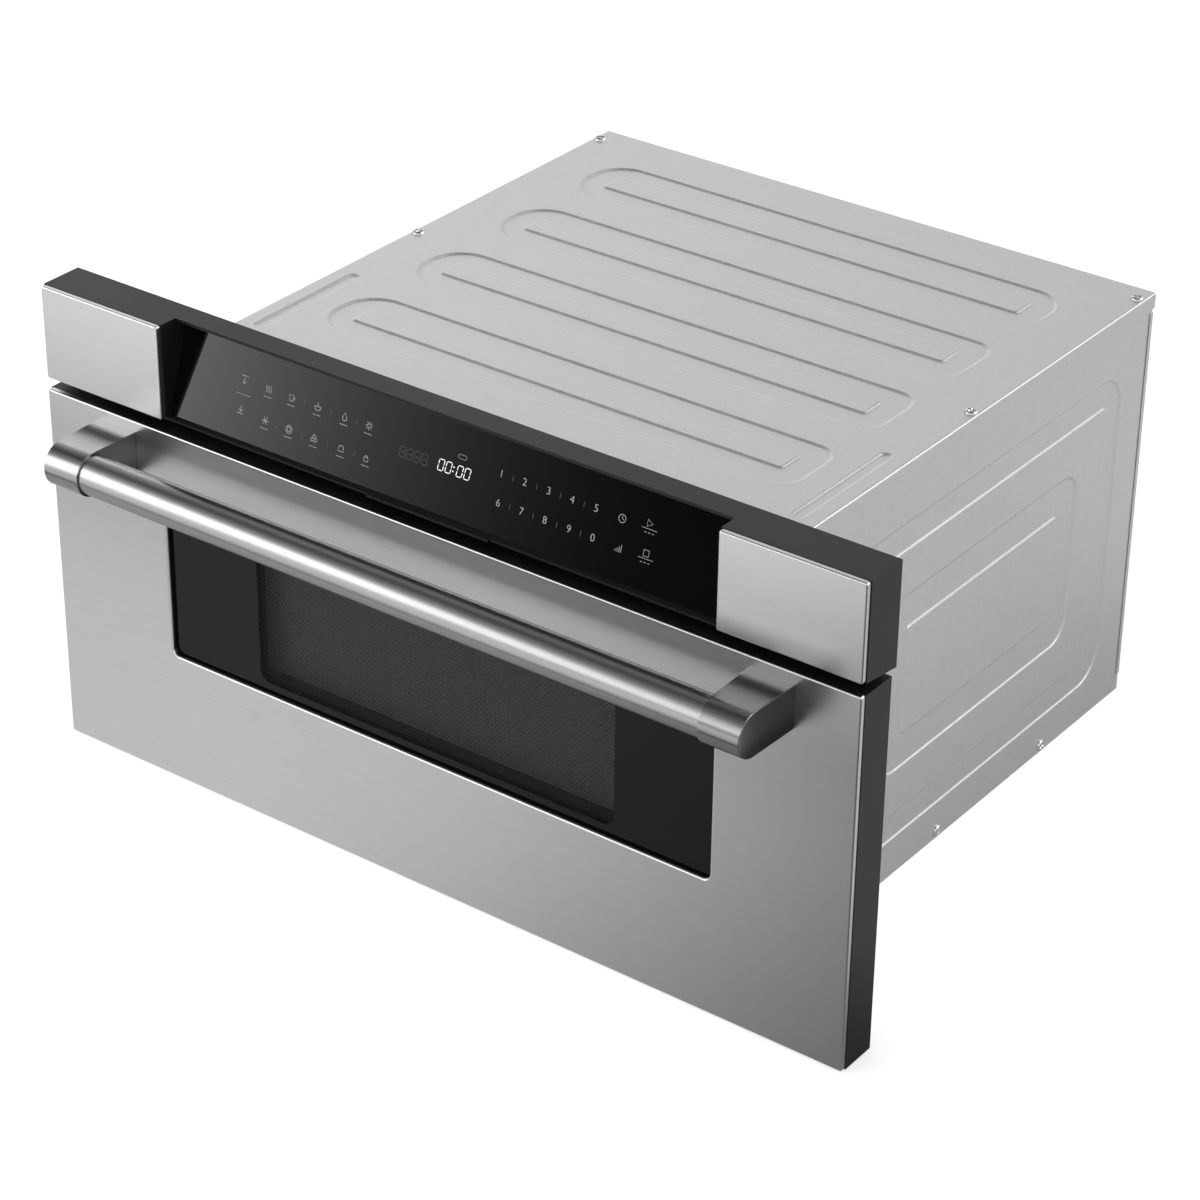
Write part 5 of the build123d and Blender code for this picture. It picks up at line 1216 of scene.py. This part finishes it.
@dataclass
class DoorFace:
    """The drawer's front: brushed steel skin, moulded frame, window and microwave choke."""

    frame: Frame
    front_y: float = -267.9
    window_z: float = 185.4
    opening: tuple[float, float] = (524.0, 140.0)
    corner: float = 8.0
    roll: float = 2.0
    steps: int = 9

    def build(self) -> None:
        """Dresses the nodes."""
        self.frame.polish(STEEL, "door_skin")
        self.frame.dress(BLACK, "door_frame")
        self.frame.dress(WINDOW, "window_glass")
        self.frame.dress(SCREEN, "window_screen")
        self.frame.dress(PANE, "inner_window")
        self.frame.dress(ENAMEL, "choke_panel")
        self.frame.dress(RUBBER, "door_seal")
        self.frame.polish(WHITE_PLASTIC, "latch_hooks")
        finished_piece("window_rolled_edge", self.rolled_edge(), STEEL, "drawer")

    def rolled_edge(self) -> Surface:
        """The skin's edge, rolled into the recess all round the window.

        A quarter circle of the edge's radius r is carried round a rounded rectangle: at angle t it lies
        r sin t inside the outline and r (1 - cos t) behind the face.

        Returns:
            The closed strip in metres.
        """
        half_x, half_z = self.opening[0] / 2 - self.corner, self.opening[1] / 2 - self.corner
        corners = ((1, 1, 0.0), (-1, 1, 90.0), (-1, -1, 180.0), (1, -1, 270.0))
        outward = np.concatenate([arc((0.0, 0.0), 1.0, start, start + 90.0, self.steps)
                                  for _, _, start in corners])
        middles = np.repeat([[sx * half_x, sz * half_z] for sx, sz, _ in corners], self.steps, axis=0)
        turn = np.radians(np.linspace(0.0, 90.0, self.steps))[:, None]
        reach = self.corner - self.roll * np.sin(turn)
        depth = np.broadcast_to(self.front_y + self.roll * (1 - np.cos(turn)), (self.steps, len(outward)))
        points = np.stack([middles[:, 0] + reach * outward[:, 0], depth,
                           middles[:, 1] + reach * outward[:, 1] + self.window_z], axis=-1)
        return grid(points[::-1] * MM, wrap=True)


@dataclass
class Handle:
    """Bar handle: drawn tube between two cast brackets."""

    frame: Frame
    axis_y: float = -314.2
    axis_z: float = 289.2
    radius: float = 16.2
    half_length: float = 294.0
    edge: float = 0.8

    def build(self) -> None:
        """Makes the bar and polishes its brackets."""
        finished_piece("handle_tube", self.tube(), DRAWN, "drawer", ["handle_bar"])
        self.frame.polish(CHROME, "handle_bracket_left", "handle_bracket_right", sharp=38.0)
        self.frame.polish(SCREW, "handle_screws")

    def tube(self) -> Surface:
        """The bar: a circle carried along X, with its ends eased over a small edge and closed.

        Returns:
            The surface in metres.
        """
        angle = np.linspace(0.0, np.pi / 2, 5)
        heel = self.edge * np.stack([np.sin(angle) - 1, 1 - np.cos(angle)], axis=1) + (self.radius, 0.0)
        length = 2 * self.half_length
        nose = np.stack([heel[::-1, 0], length - heel[::-1, 1]], axis=1)
        middle = np.stack([np.full(9, self.radius), np.linspace(2.0, length - 2.0, 9)], axis=1)
        profile = np.concatenate([[[0.0, 0.0]], heel, middle, nose, [[0.0, length]]])
        foot = np.array([-self.half_length, self.axis_y, self.axis_z]) * MM
        return turned(profile * MM, foot, (1, 0, 0), 96)


@dataclass
class CabinetShell:
    """Folded zinc-coated box: pressed cover and walls, back, base, mounting flange and screws."""

    frame: Frame
    front_y: float = -223.8
    back_y: float = 322.2
    cover_half: float = 271.7
    cover_top: float = 367.8
    cover_edge: float = 354.8
    wall_x: float = 270.7
    wall_top: float = 366.8
    sheet: float = 0.9
    bend: float = 1.6
    guard: float = 0.6
    fine: float = 0.78
    cover_fine: float = 0.93
    press: float = 1.25
    slope: float = 1.9
    rib_count: int = 4
    rib_pitch: float = 109.7
    rib_first: float = 129.5
    rib_size: tuple[float, float] = (448.0, 67.0)
    rib_band: float = 21.0
    rib_corner: float = 30.0
    rib_right_corner: float = 18.0
    inner_corner: float = 4.0
    bead_x: float = 252.5
    bead_size: tuple[float, float] = (9.0, 120.0)
    bead_start: float = 62.0
    bead_corner: float = 4.4
    rib_margin: float = 4.0
    rib_rows: Span = (14.0, 17.0)  # fine rows: from the edge inwards to their middle, and half their span
    bead_margins: Span = (3.0, 8.0)  # fine lines outside and inside a bead's end
    # fine lines outside the outline, inside its corner, outside and inside the band's inner edge
    press_margins: tuple[float, float, float, float] = (3.0, 2.0, 2.0, 6.0)
    press_place: tuple[float, float] = (303.5, 174.6)
    # width, height, band and corner of each pressed panel
    press_sizes: tuple[tuple[float, float, float, float], ...] = (
        (400.0, 280.0, 23.0, 30.0), (278.0, 153.0, 29.0, 22.0))
    coarse: float = 50.0
    cover_coarse: float = 60.0
    fold: float = 15.0
    fold_ends: Span = (16.0, 351.0)
    back_gap: float = 2.0
    notch: tuple[float, float] = (40.0, 98.0)
    head: float = 5.2
    head_height: float = 2.4
    cross: tuple[float, float, float, float] = (0.85, 2.9, 1.2, 0.8)  # half width, reach, depth, edge
    spin: float = 0.7
    top_screws: tuple[float, float, float] = (265.2, 276.5, 527.0)  # x, then y from the front
    side_screws: tuple[float, float, float] = (6.4, 257.8, 417.1)  # z, then y from the front
    back_screws: tuple[float, float, float] = (262.2, 40.0, 327.8)  # x, then z

    def build(self) -> None:
        """Makes the pressed sheets and the screws, and dresses the rest."""
        sheets = (("pressed_cover", self.cover(), "cabinet_cover"),
                  ("pressed_wall_left", self.wall(-1), "cabinet_side_left"),
                  ("pressed_wall_right", self.wall(1), "cabinet_side_right"))
        for name, surface, node in sheets:
            sheet = finished_piece(name, surface, ZINC, "cabinet", [node], 50.0)
            thickened(sheet, self.sheet * MM)
        self.frame.dress(ZINC, "mounting_flange", "cabinet_back", "cabinet_base", "drive_bracket",
                         "interlock_brackets")
        finished_piece("pan_head_screws", self.screws(), SCREW, "cabinet",
                       ["cover_screws"], 50.0)

    def banded(self, across: Array, along: Array, size: Sequence[float], band: float, corner: Any) -> Array:
        """Depth of a band pressed round a rounded rectangle.

        The band is where the outer outline's distance is below 0 and the inner outline's is above 0.

        Args:
            across: first coordinate of each point, from the middle.
            along: second coordinate.
            size: outer width and height.
            band: width of the band.
            corner: outer corner radius, one or one per point.

        Returns:
            0 for flat to 1 for the full depth.
        """
        outer = rounded_distance(across, along, size, corner)
        inner = rounded_distance(across, along, (size[0] - 2 * band, size[1] - 2 * band), self.inner_corner)
        return (1.0 - eased(outer, self.slope)) * eased(inner, self.slope)

    def cover(self) -> Surface:
        """The cover: a height field with its long edges bent down.

        Over x in -half..half the height is top less press * band; past the bend the sheet runs down
        to its edge.

        Returns:
            The surface in metres.
        """
        half_x, half_y = self.rib_size[0] / 2, self.rib_size[1] / 2
        near = self.slope
        bead_out, bead_in = self.bead_margins
        spans_x = []
        for sign in (-1, 1):
            places = ((half_x - self.rib_corner - self.rib_margin, half_x + near),
                      (half_x - self.rib_band - near, half_x - self.rib_band + near),
                      (self.bead_x - bead_in, self.bead_x + bead_in))
            spans_x += [tuple(sorted((sign * a, sign * b))) for a, b in places]
        flat = self.cover_half - self.bend
        spans_x += [(-flat, -flat + self.guard), (flat - self.guard, flat)]
        x = lines_between(-flat, flat, spans_x, self.cover_fine, self.cover_coarse)
        ribs = self.front_y + self.rib_first + self.rib_pitch * np.arange(self.rib_count)
        spans_y = [(rib + sign * a - b, rib + sign * a + b) for rib in ribs for sign in (-1, 1)
                   for a, b in ((half_y - self.rib_rows[0], self.rib_rows[1]),
                                (half_y - self.rib_band, near))]
        bead_low = self.front_y + self.bead_start
        bead_high = bead_low + self.bead_size[1]
        spans_y += [(bead_low - bead_out, bead_low + bead_in), (bead_high - bead_in, bead_high + bead_out)]
        y = lines_between(self.front_y, self.back_y, spans_y, self.cover_fine, self.cover_coarse)
        gx, gy = np.meshgrid(x, y, indexing="ij")
        depth = np.zeros_like(gx)
        for rib in ribs:
            last = rib == ribs[-1]
            corner = np.where((gx < 0) | last, self.rib_corner, self.rib_right_corner)
            depth = np.maximum(depth, self.banded(gx, gy - rib, self.rib_size, self.rib_band, corner))
        bead = rounded_distance(np.abs(gx) - self.bead_x, gy - (bead_low + bead_high) / 2, self.bead_size,
                                self.bead_corner)
        depth = np.maximum(depth, 1.0 - eased(bead, self.slope * 0.8))
        top = np.stack([gx, gy, self.cover_top - self.press * depth], axis=-1)
        angle = np.radians(np.array([0.0, 22.5, 45.0, 67.5, 90.0]))[1:]
        bent_x = np.append(flat + self.bend * np.sin(angle), [self.cover_half] * 2)
        bent_z = np.append(self.cover_top - self.bend * (1 - np.cos(angle)),
                           [self.cover_top - self.bend - self.guard, self.cover_edge])
        shape = (len(bent_x), len(y))
        right = np.stack([np.broadcast_to(bent_x[:, None], shape), np.broadcast_to(y, shape),
                          np.broadcast_to(bent_z[:, None], shape)], axis=-1)
        left = right[::-1] * np.array([-1.0, 1.0, 1.0])
        return grid(np.concatenate([left, top, right]) * MM)

    def wall(self, side: int) -> Surface:
        """A side wall: a height field in x over y and z, with its front and back edges folded in.

        Args:
            side: -1 for left, 1 for right.

        Returns:
            The surface in metres.
        """
        middle_y = self.front_y + self.press_place[0]
        middle_z = self.press_place[1]
        outside, inside, over, under = self.press_margins
        spans_y, spans_z = [], []
        for width, height, band, corner in self.press_sizes:
            for sign in (-1, 1):
                for spans, middle, half in ((spans_y, middle_y, width / 2),
                                            (spans_z, middle_z, height / 2)):
                    for a, b in ((half + outside, half - corner - inside),
                                 (half - band + over, half - band - under)):
                        spans.append(tuple(sorted((middle + sign * a, middle + sign * b))))
        near, far = self.front_y + self.bend, self.back_y - self.bend
        spans_y += [(near, near + self.guard), (far - self.guard, far)]
        y = lines_between(near, far, spans_y, self.fine, self.coarse)
        z = lines_between(0.0, self.wall_top, spans_z, self.fine, self.coarse)
        gy, gz = np.meshgrid(y, z, indexing="ij")
        depth = np.zeros_like(gy)
        for width, height, band, corner in self.press_sizes:
            pressed = self.banded(gy - middle_y, gz - middle_z, (width, height), band, corner)
            depth = np.maximum(depth, pressed)
        plates = [np.stack([side * (self.wall_x - self.press * depth), gy, gz], axis=-1)]
        angle = np.radians(np.linspace(0.0, 90.0, 5))
        bent_x = np.append(self.wall_x - self.bend * (1 - np.cos(angle)), self.wall_x - self.fold)
        low_end, high_end = self.fold_ends
        folds = ((self.back_y - self.back_gap, 1, (self.fold_ends,)),
                 (self.front_y, -1, ((low_end, self.notch[0]), (self.notch[1], high_end))))
        for edge, sign, spans in folds:
            bent_y = np.append(edge - sign * self.bend * (1 - np.sin(angle)), edge)
            if sign > 0:
                bent_y[0] = far
            for span in spans:
                rows = [np.stack([side * bent_x, bent_y, np.full(6, level)], axis=-1) for level in span]
                plates.append(np.stack(rows, axis=1)[::sign])
        points, faces = joined([grid(plate[::side]) for plate in plates])
        return points * MM, faces

    def screws(self) -> Surface:
        """Pan-head screws with a cross recess.

        On a polar grid the head's height is head_height * (1 - (r / head)^4)^0.5, less the recess, which is
        a smooth cross of two bars; the rim falls to the sheet.

        Returns:
            All heads as one surface in metres.
        """
        share = np.array([0.0, 0.12, 0.22, 0.34, 0.46, 0.56, 0.66, 0.78, 0.88, 0.95, 0.985, 1.0])
        angle = np.linspace(0.0, 2 * np.pi, 32, endpoint=False)
        radius, turn = np.meshgrid(share * self.head, angle, indexing="ij")
        a, b = radius * np.cos(turn), radius * np.sin(turn)
        dome = self.head_height * np.sqrt(np.clip(1.0 - (radius / self.head) ** 4, 0.0, 1.0))
        half_width, reach, sunk, edge = self.cross
        bars = np.maximum(np.minimum(np.abs(a), np.abs(b)) / half_width, radius / reach)
        height = dome - sunk * (1.0 - eased(bars - 1.0, edge))
        x, *rows = self.top_screws
        places = [((side * x, self.front_y + row, self.cover_top), (0, 0, 1)) for side in (-1, 1)
                  for row in rows]
        z, *rows = self.side_screws
        places += [((side * self.wall_x, self.front_y + row, z), (side, 0, 0)) for side in (-1, 1)
                   for row in rows]
        x, *rows = self.back_screws
        places += [((side * x, self.back_y, row), (0, 1, 0)) for side in (-1, 1) for row in rows]
        heads = []
        for number, (place, out) in enumerate(places):
            out = np.array(out, float)
            other = np.array([0.0, 0.0, 1.0]) if abs(out[2]) < 0.5 else np.array([1.0, 0.0, 0.0])
            first = np.cross(other, out)
            second = np.cross(out, first)
            spin = self.spin * number
            u = math.cos(spin) * first + math.sin(spin) * second
            w = math.cos(spin) * second - math.sin(spin) * first
            points = np.array(place) + a[..., None] * u + b[..., None] * w + height[..., None] * out
            heads.append(grid(points * MM, wrap=True))
        return joined(heads)


@dataclass
class OvenInterior:
    """Everything that food and dishes meet: enamelled liner and drawer, ceramic tray, stirrer and lamp."""

    frame: Frame

    def build(self) -> None:
        """Dresses the nodes."""
        self.frame.polish(ENAMEL, "oven_cavity", "drawer_body")
        self.frame.polish(CERAMIC, "tray")
        self.frame.polish(MICA, "stirrer_cover")
        self.frame.polish(DUCT, "stirrer", "waveguide", "magnetron", "capacitor")
        self.frame.polish(LAMP, "cavity_lamp")
        self.frame.polish(GREY_PLASTIC, "stirrer_motor", "thermal_cutouts")


@dataclass
class CoolingAndDrive:
    """Fan, power parts, slides, rack and pinion, latches."""

    frame: Frame

    def build(self) -> None:
        """Dresses the nodes."""
        self.frame.polish(GREY_PLASTIC, "fan_housing", "fan_wheel", "air_duct", "interlock_switches")
        self.frame.polish(IRON, "fan_motor", "high_voltage_transformer")
        self.frame.dress(BOARD, "line_filter")
        self.frame.polish(BLACK, "power_gland")
        self.frame.polish(RAIL, "rail_outer_left", "rail_outer_right", "rail_inner_left",
                          "rail_inner_right", "rail_middle_left", "rail_middle_right",
                          "drawer_front_bracket", "drawer_cross_member")
        self.frame.polish(WHITE_PLASTIC, "drive_rack", "drive_pinion", "interlock_lever_left",
                          "interlock_lever_right")
        self.frame.polish(GEARMOTOR, "drive_motor")


def seen_directly(graph: Graph) -> Value:
    """1 for rays from the camera, straight or through glass, else 0."""
    kinds = [Value(graph, graph.node("ShaderNodeLightPath").outputs[f"Is {kind} Ray"])
             for kind in ("Camera", "Transmission")]
    return (kinds[0] + kinds[1]).math("MINIMUM", 1.0)


@dataclass(frozen=True)
class MirroredFloor:
    """How bright the floor looks in polished metal; each Span is a soft step over millimetres."""

    front: Span = (550.0, -250.0)
    front_gain: float = 0.70
    front_base: float = 0.17
    near: Span = (450.0, 640.0)
    near_gain: float = 0.10
    far: Span = (690.0, 770.0)
    far_gain: float = 0.42
    ahead_base: float = 0.95
    band_middle: float = 655.0
    band: Span = (95.0, 40.0)
    band_depth: float = 0.85
    side_x: float = 270.0
    back_y: float = 320.0
    around: Span = (0.0, 330.0)
    around_gain: float = 0.30
    around_base: float = 0.47
    turn: Span = (100.0, 250.0)

    def strength(self, graph: Graph) -> Value:
        """Palest at the front left, with a dark band across the front, and dim close round the object.

        Args:
            graph: the floor's material.

        Returns:
            The strength, from the place on the floor.
        """
        right, back, _ = graph.axes()
        ahead = back * -1.0
        front = right.step(*self.front) * self.front_gain + self.front_base
        rises = ahead.step(*self.near) * self.near_gain + ahead.step(*self.far) * self.far_gain
        front *= rises + self.ahead_base
        front *= 1.0 - abs(ahead - self.band_middle).step(*self.band) * self.band_depth
        away = (abs(right) - self.side_x).math("MAXIMUM", back - self.back_y)
        around = away.step(*self.around) * self.around_gain + self.around_base
        share = ahead.step(*self.turn)
        return front * share + around * (1.0 - share)


@dataclass(frozen=True)
class MirroredSky:
    """How bright the surroundings look in polished metal; each Span is a soft step over a direction."""

    slope_right: Span = (0.15, 0.40)
    slope_high: Span = (0.15, 0.35)
    slope_gain: float = 2.6
    shade_high: Span = (0.54, 0.70)
    shade_depth: float = 0.8
    left: Span = (-0.40, -0.62)
    left_gain: float = 0.40
    sweep_back: Span = (-0.1, 0.5)
    sweep_level: float = 0.87
    box_back: Span = (-0.3, 0.0)
    box_low: Span = (0.05, 0.18)
    box_fall: Span = (0.12, 0.85)
    box_depth: float = 0.92
    box_level: float = 2.1
    edge_start: float = 0.48
    edge_reach: float = 0.16
    edge_back: Span = (-0.6, -0.3)
    edge_high: Span = (0.08, 0.3)
    edge_level: float = 3.8
    base: float = 0.05

    def strength(self, graph: Graph) -> Value:
        """A pale sweep behind the object, a soft box before it and a bright edge at its left.

        Args:
            graph: the world's nodes.

        Returns:
            The strength, from the ray's direction.
        """
        right, back, high = graph.split(graph.node("ShaderNodeTexCoord").outputs["Generated"])
        slopes = right.step(*self.slope_right) * high.step(*self.slope_high)
        shade = high.step(*self.shade_high) * self.shade_depth * (1.0 - slopes)
        tones = 1.0 - shade + slopes * self.slope_gain + right.step(*self.left) * self.left_gain
        sweep = back.step(*self.sweep_back) * tones * self.sweep_level
        box = (1.0 - back.step(*self.box_back)) * high.step(*self.box_low)
        box *= (1.0 - high.step(*self.box_fall) * self.box_depth) * self.box_level
        slide = (right * -1.0 - self.edge_start) / self.edge_reach
        slide = slide.math("MAXIMUM", 0.0).math("MINIMUM", 1.0)
        edge = slide * slide * slide * (1.0 - back.step(*self.edge_back))
        edge *= (1.0 - high.step(*self.edge_high)) * self.edge_level
        return sweep + box + edge + self.base


@dataclass(frozen=True)
class SoftLamp:
    """A soft rectangular lamp: places and sizes in metres, power in watts."""

    name: str
    place: tuple[float, float, float]
    aim: tuple[float, float, float]
    size: Span
    power: float
    mirrored: bool = True

    def build(self) -> None:
        """Hangs the lamp at its place, turned to its aim."""
        light = bpy.data.lights.new(self.name, "AREA")
        light.shape = "RECTANGLE"
        light.size, light.size_y = self.size
        light.energy = self.power
        lamp = bpy.data.objects.new(self.name, light)
        lamp.location = self.place
        way = Vector(self.aim) - Vector(self.place)
        lamp.rotation_euler = way.to_track_quat("-Z", "Y").to_euler()
        lamp.visible_glossy = self.mirrored
        bpy.context.scene.collection.objects.link(lamp)


LAMPS = (
    SoftLamp("soft_box_over", (-0.6, -0.5, 2.6), (0.0, 0.05, 0.3), (2.4, 2.0), 20.0, mirrored=False),
    SoftLamp("soft_box_front_left", (-2.3, -2.3, 1.5), (0.0, -0.2, 0.2), (1.5, 1.2), 14.0),
    SoftLamp("soft_box_right", (2.8, 0.6, 1.6), (0.1, 0.1, 0.2), (1.6, 1.6), 8.0),
)


@dataclass
class Studio:
    """Pale floor, soft lamps and the camera."""

    camera_place: tuple[float, float, float] = (1.4644, -2.0446, 1.5860)
    azimuth: float = 0.6462
    elevation: float = 0.5230
    roll: float = 0.0058
    lens: float = 108.129
    shift: float = 0.0333
    sensor: float = 36.0
    floor_size: float = 14.0
    floor_tone: float = 0.86
    floor_glow: float = 0.62
    fill_level: float = 0.38

    def build(self) -> None:
        """Makes floor, world, lamps and camera."""
        self.floor()
        self.world()
        for lamp in LAMPS:
            lamp.build()
        self.camera()

    def floor(self) -> None:
        """The floor: pale and matt; a part of its brightness for camera and mirror rays is its own."""
        half = self.floor_size / 2
        across = np.linspace(-half, half, 9)
        gx, gy = np.meshgrid(across, across, indexing="ij")
        points, faces = grid(np.stack([gx, gy, np.zeros_like(gx)], axis=-1))
        mesh = bpy.data.meshes.new("studio_floor")
        mesh.from_pydata(points.tolist(), [], faces.tolist())
        material = bpy.data.materials.new("pale_floor")
        material.use_nodes = True
        graph = Graph(material.node_tree)
        white = (1.0, 1.0, 1.0, 1.0)
        paint = graph.node("ShaderNodeBsdfDiffuse", {}, {"Color": (*(self.floor_tone,) * 3, 1.0)})
        own = seen_directly(graph) * self.floor_glow
        glow = graph.node("ShaderNodeEmission", {}, {"Color": white, "Strength": own})
        lit = graph.node("ShaderNodeAddShader", {}, {0: paint.outputs[0], 1: glow.outputs[0]})
        sweep = MirroredFloor().strength(graph)
        mirrored = graph.node("ShaderNodeEmission", {}, {"Color": white, "Strength": sweep})
        glossy = graph.node("ShaderNodeLightPath").outputs["Is Glossy Ray"]
        mixed = {0: glossy, 1: lit.outputs[0], 2: mirrored.outputs[0]}
        graph.close(graph.node("ShaderNodeMixShader", {}, mixed))
        mesh.materials.append(material)
        floor = bpy.data.objects.new("studio_floor", mesh)
        bpy.context.scene.collection.objects.link(floor)

    def world(self) -> None:
        """The surroundings: white where they are seen, with a darker side that the touch glass mirrors."""
        world = bpy.data.worlds.new("soft_studio")
        bpy.context.scene.world = world
        world.use_nodes = True
        graph = Graph(world.node_tree)
        seen = seen_directly(graph)
        glossy = Value(graph, graph.node("ShaderNodeLightPath").outputs["Is Glossy Ray"])
        unseen = glossy * MirroredSky().strength(graph) + (1.0 - glossy) * self.fill_level
        level = seen + (1.0 - seen) * unseen
        sky = graph.node("ShaderNodeBackground", {}, {"Color": (1.0, 1.0, 1.0, 1.0), "Strength": level})
        graph.close(sky, "ShaderNodeOutputWorld")

    def camera(self) -> None:
        """The camera: its axes are worked out from azimuth, elevation and roll."""
        data = bpy.data.cameras.new("studio_camera")
        data.lens = self.lens
        data.sensor_width = self.sensor
        data.shift_x = self.shift
        data.clip_end = 50.0
        azimuth, elevation, roll = self.azimuth, self.elevation, self.roll
        back = np.array([math.sin(azimuth) * math.cos(elevation), -math.cos(azimuth) * math.cos(elevation),
                         math.sin(elevation)])
        right = np.array([math.cos(azimuth), math.sin(azimuth), 0.0])
        up = np.cross(back, right)
        turned_right = math.cos(roll) * right + math.sin(roll) * up
        turned_up = math.cos(roll) * up - math.sin(roll) * right
        matrix = np.eye(4)
        matrix[:3] = np.stack([turned_right, turned_up, back, self.camera_place], axis=1)
        camera = bpy.data.objects.new("studio_camera", data)
        camera.matrix_world = Matrix(matrix.tolist())
        bpy.context.scene.collection.objects.link(camera)
        bpy.context.scene.camera = camera


def main() -> None:
    """Loads the frame, dresses it and sets the studio."""
    logging.basicConfig(level=logging.INFO, format="%(name)s %(message)s")
    frame = Frame(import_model())
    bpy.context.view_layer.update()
    bpy.context.scene.view_settings.view_transform = "Standard"
    for assembly in (ControlPanel(frame), DoorFace(frame), Handle(frame), CabinetShell(frame),
                     OvenInterior(frame), CoolingAndDrive(frame), Studio()):
        assembly.build()
    bpy.context.view_layer.update()


if __name__ == "__main__":
    main()
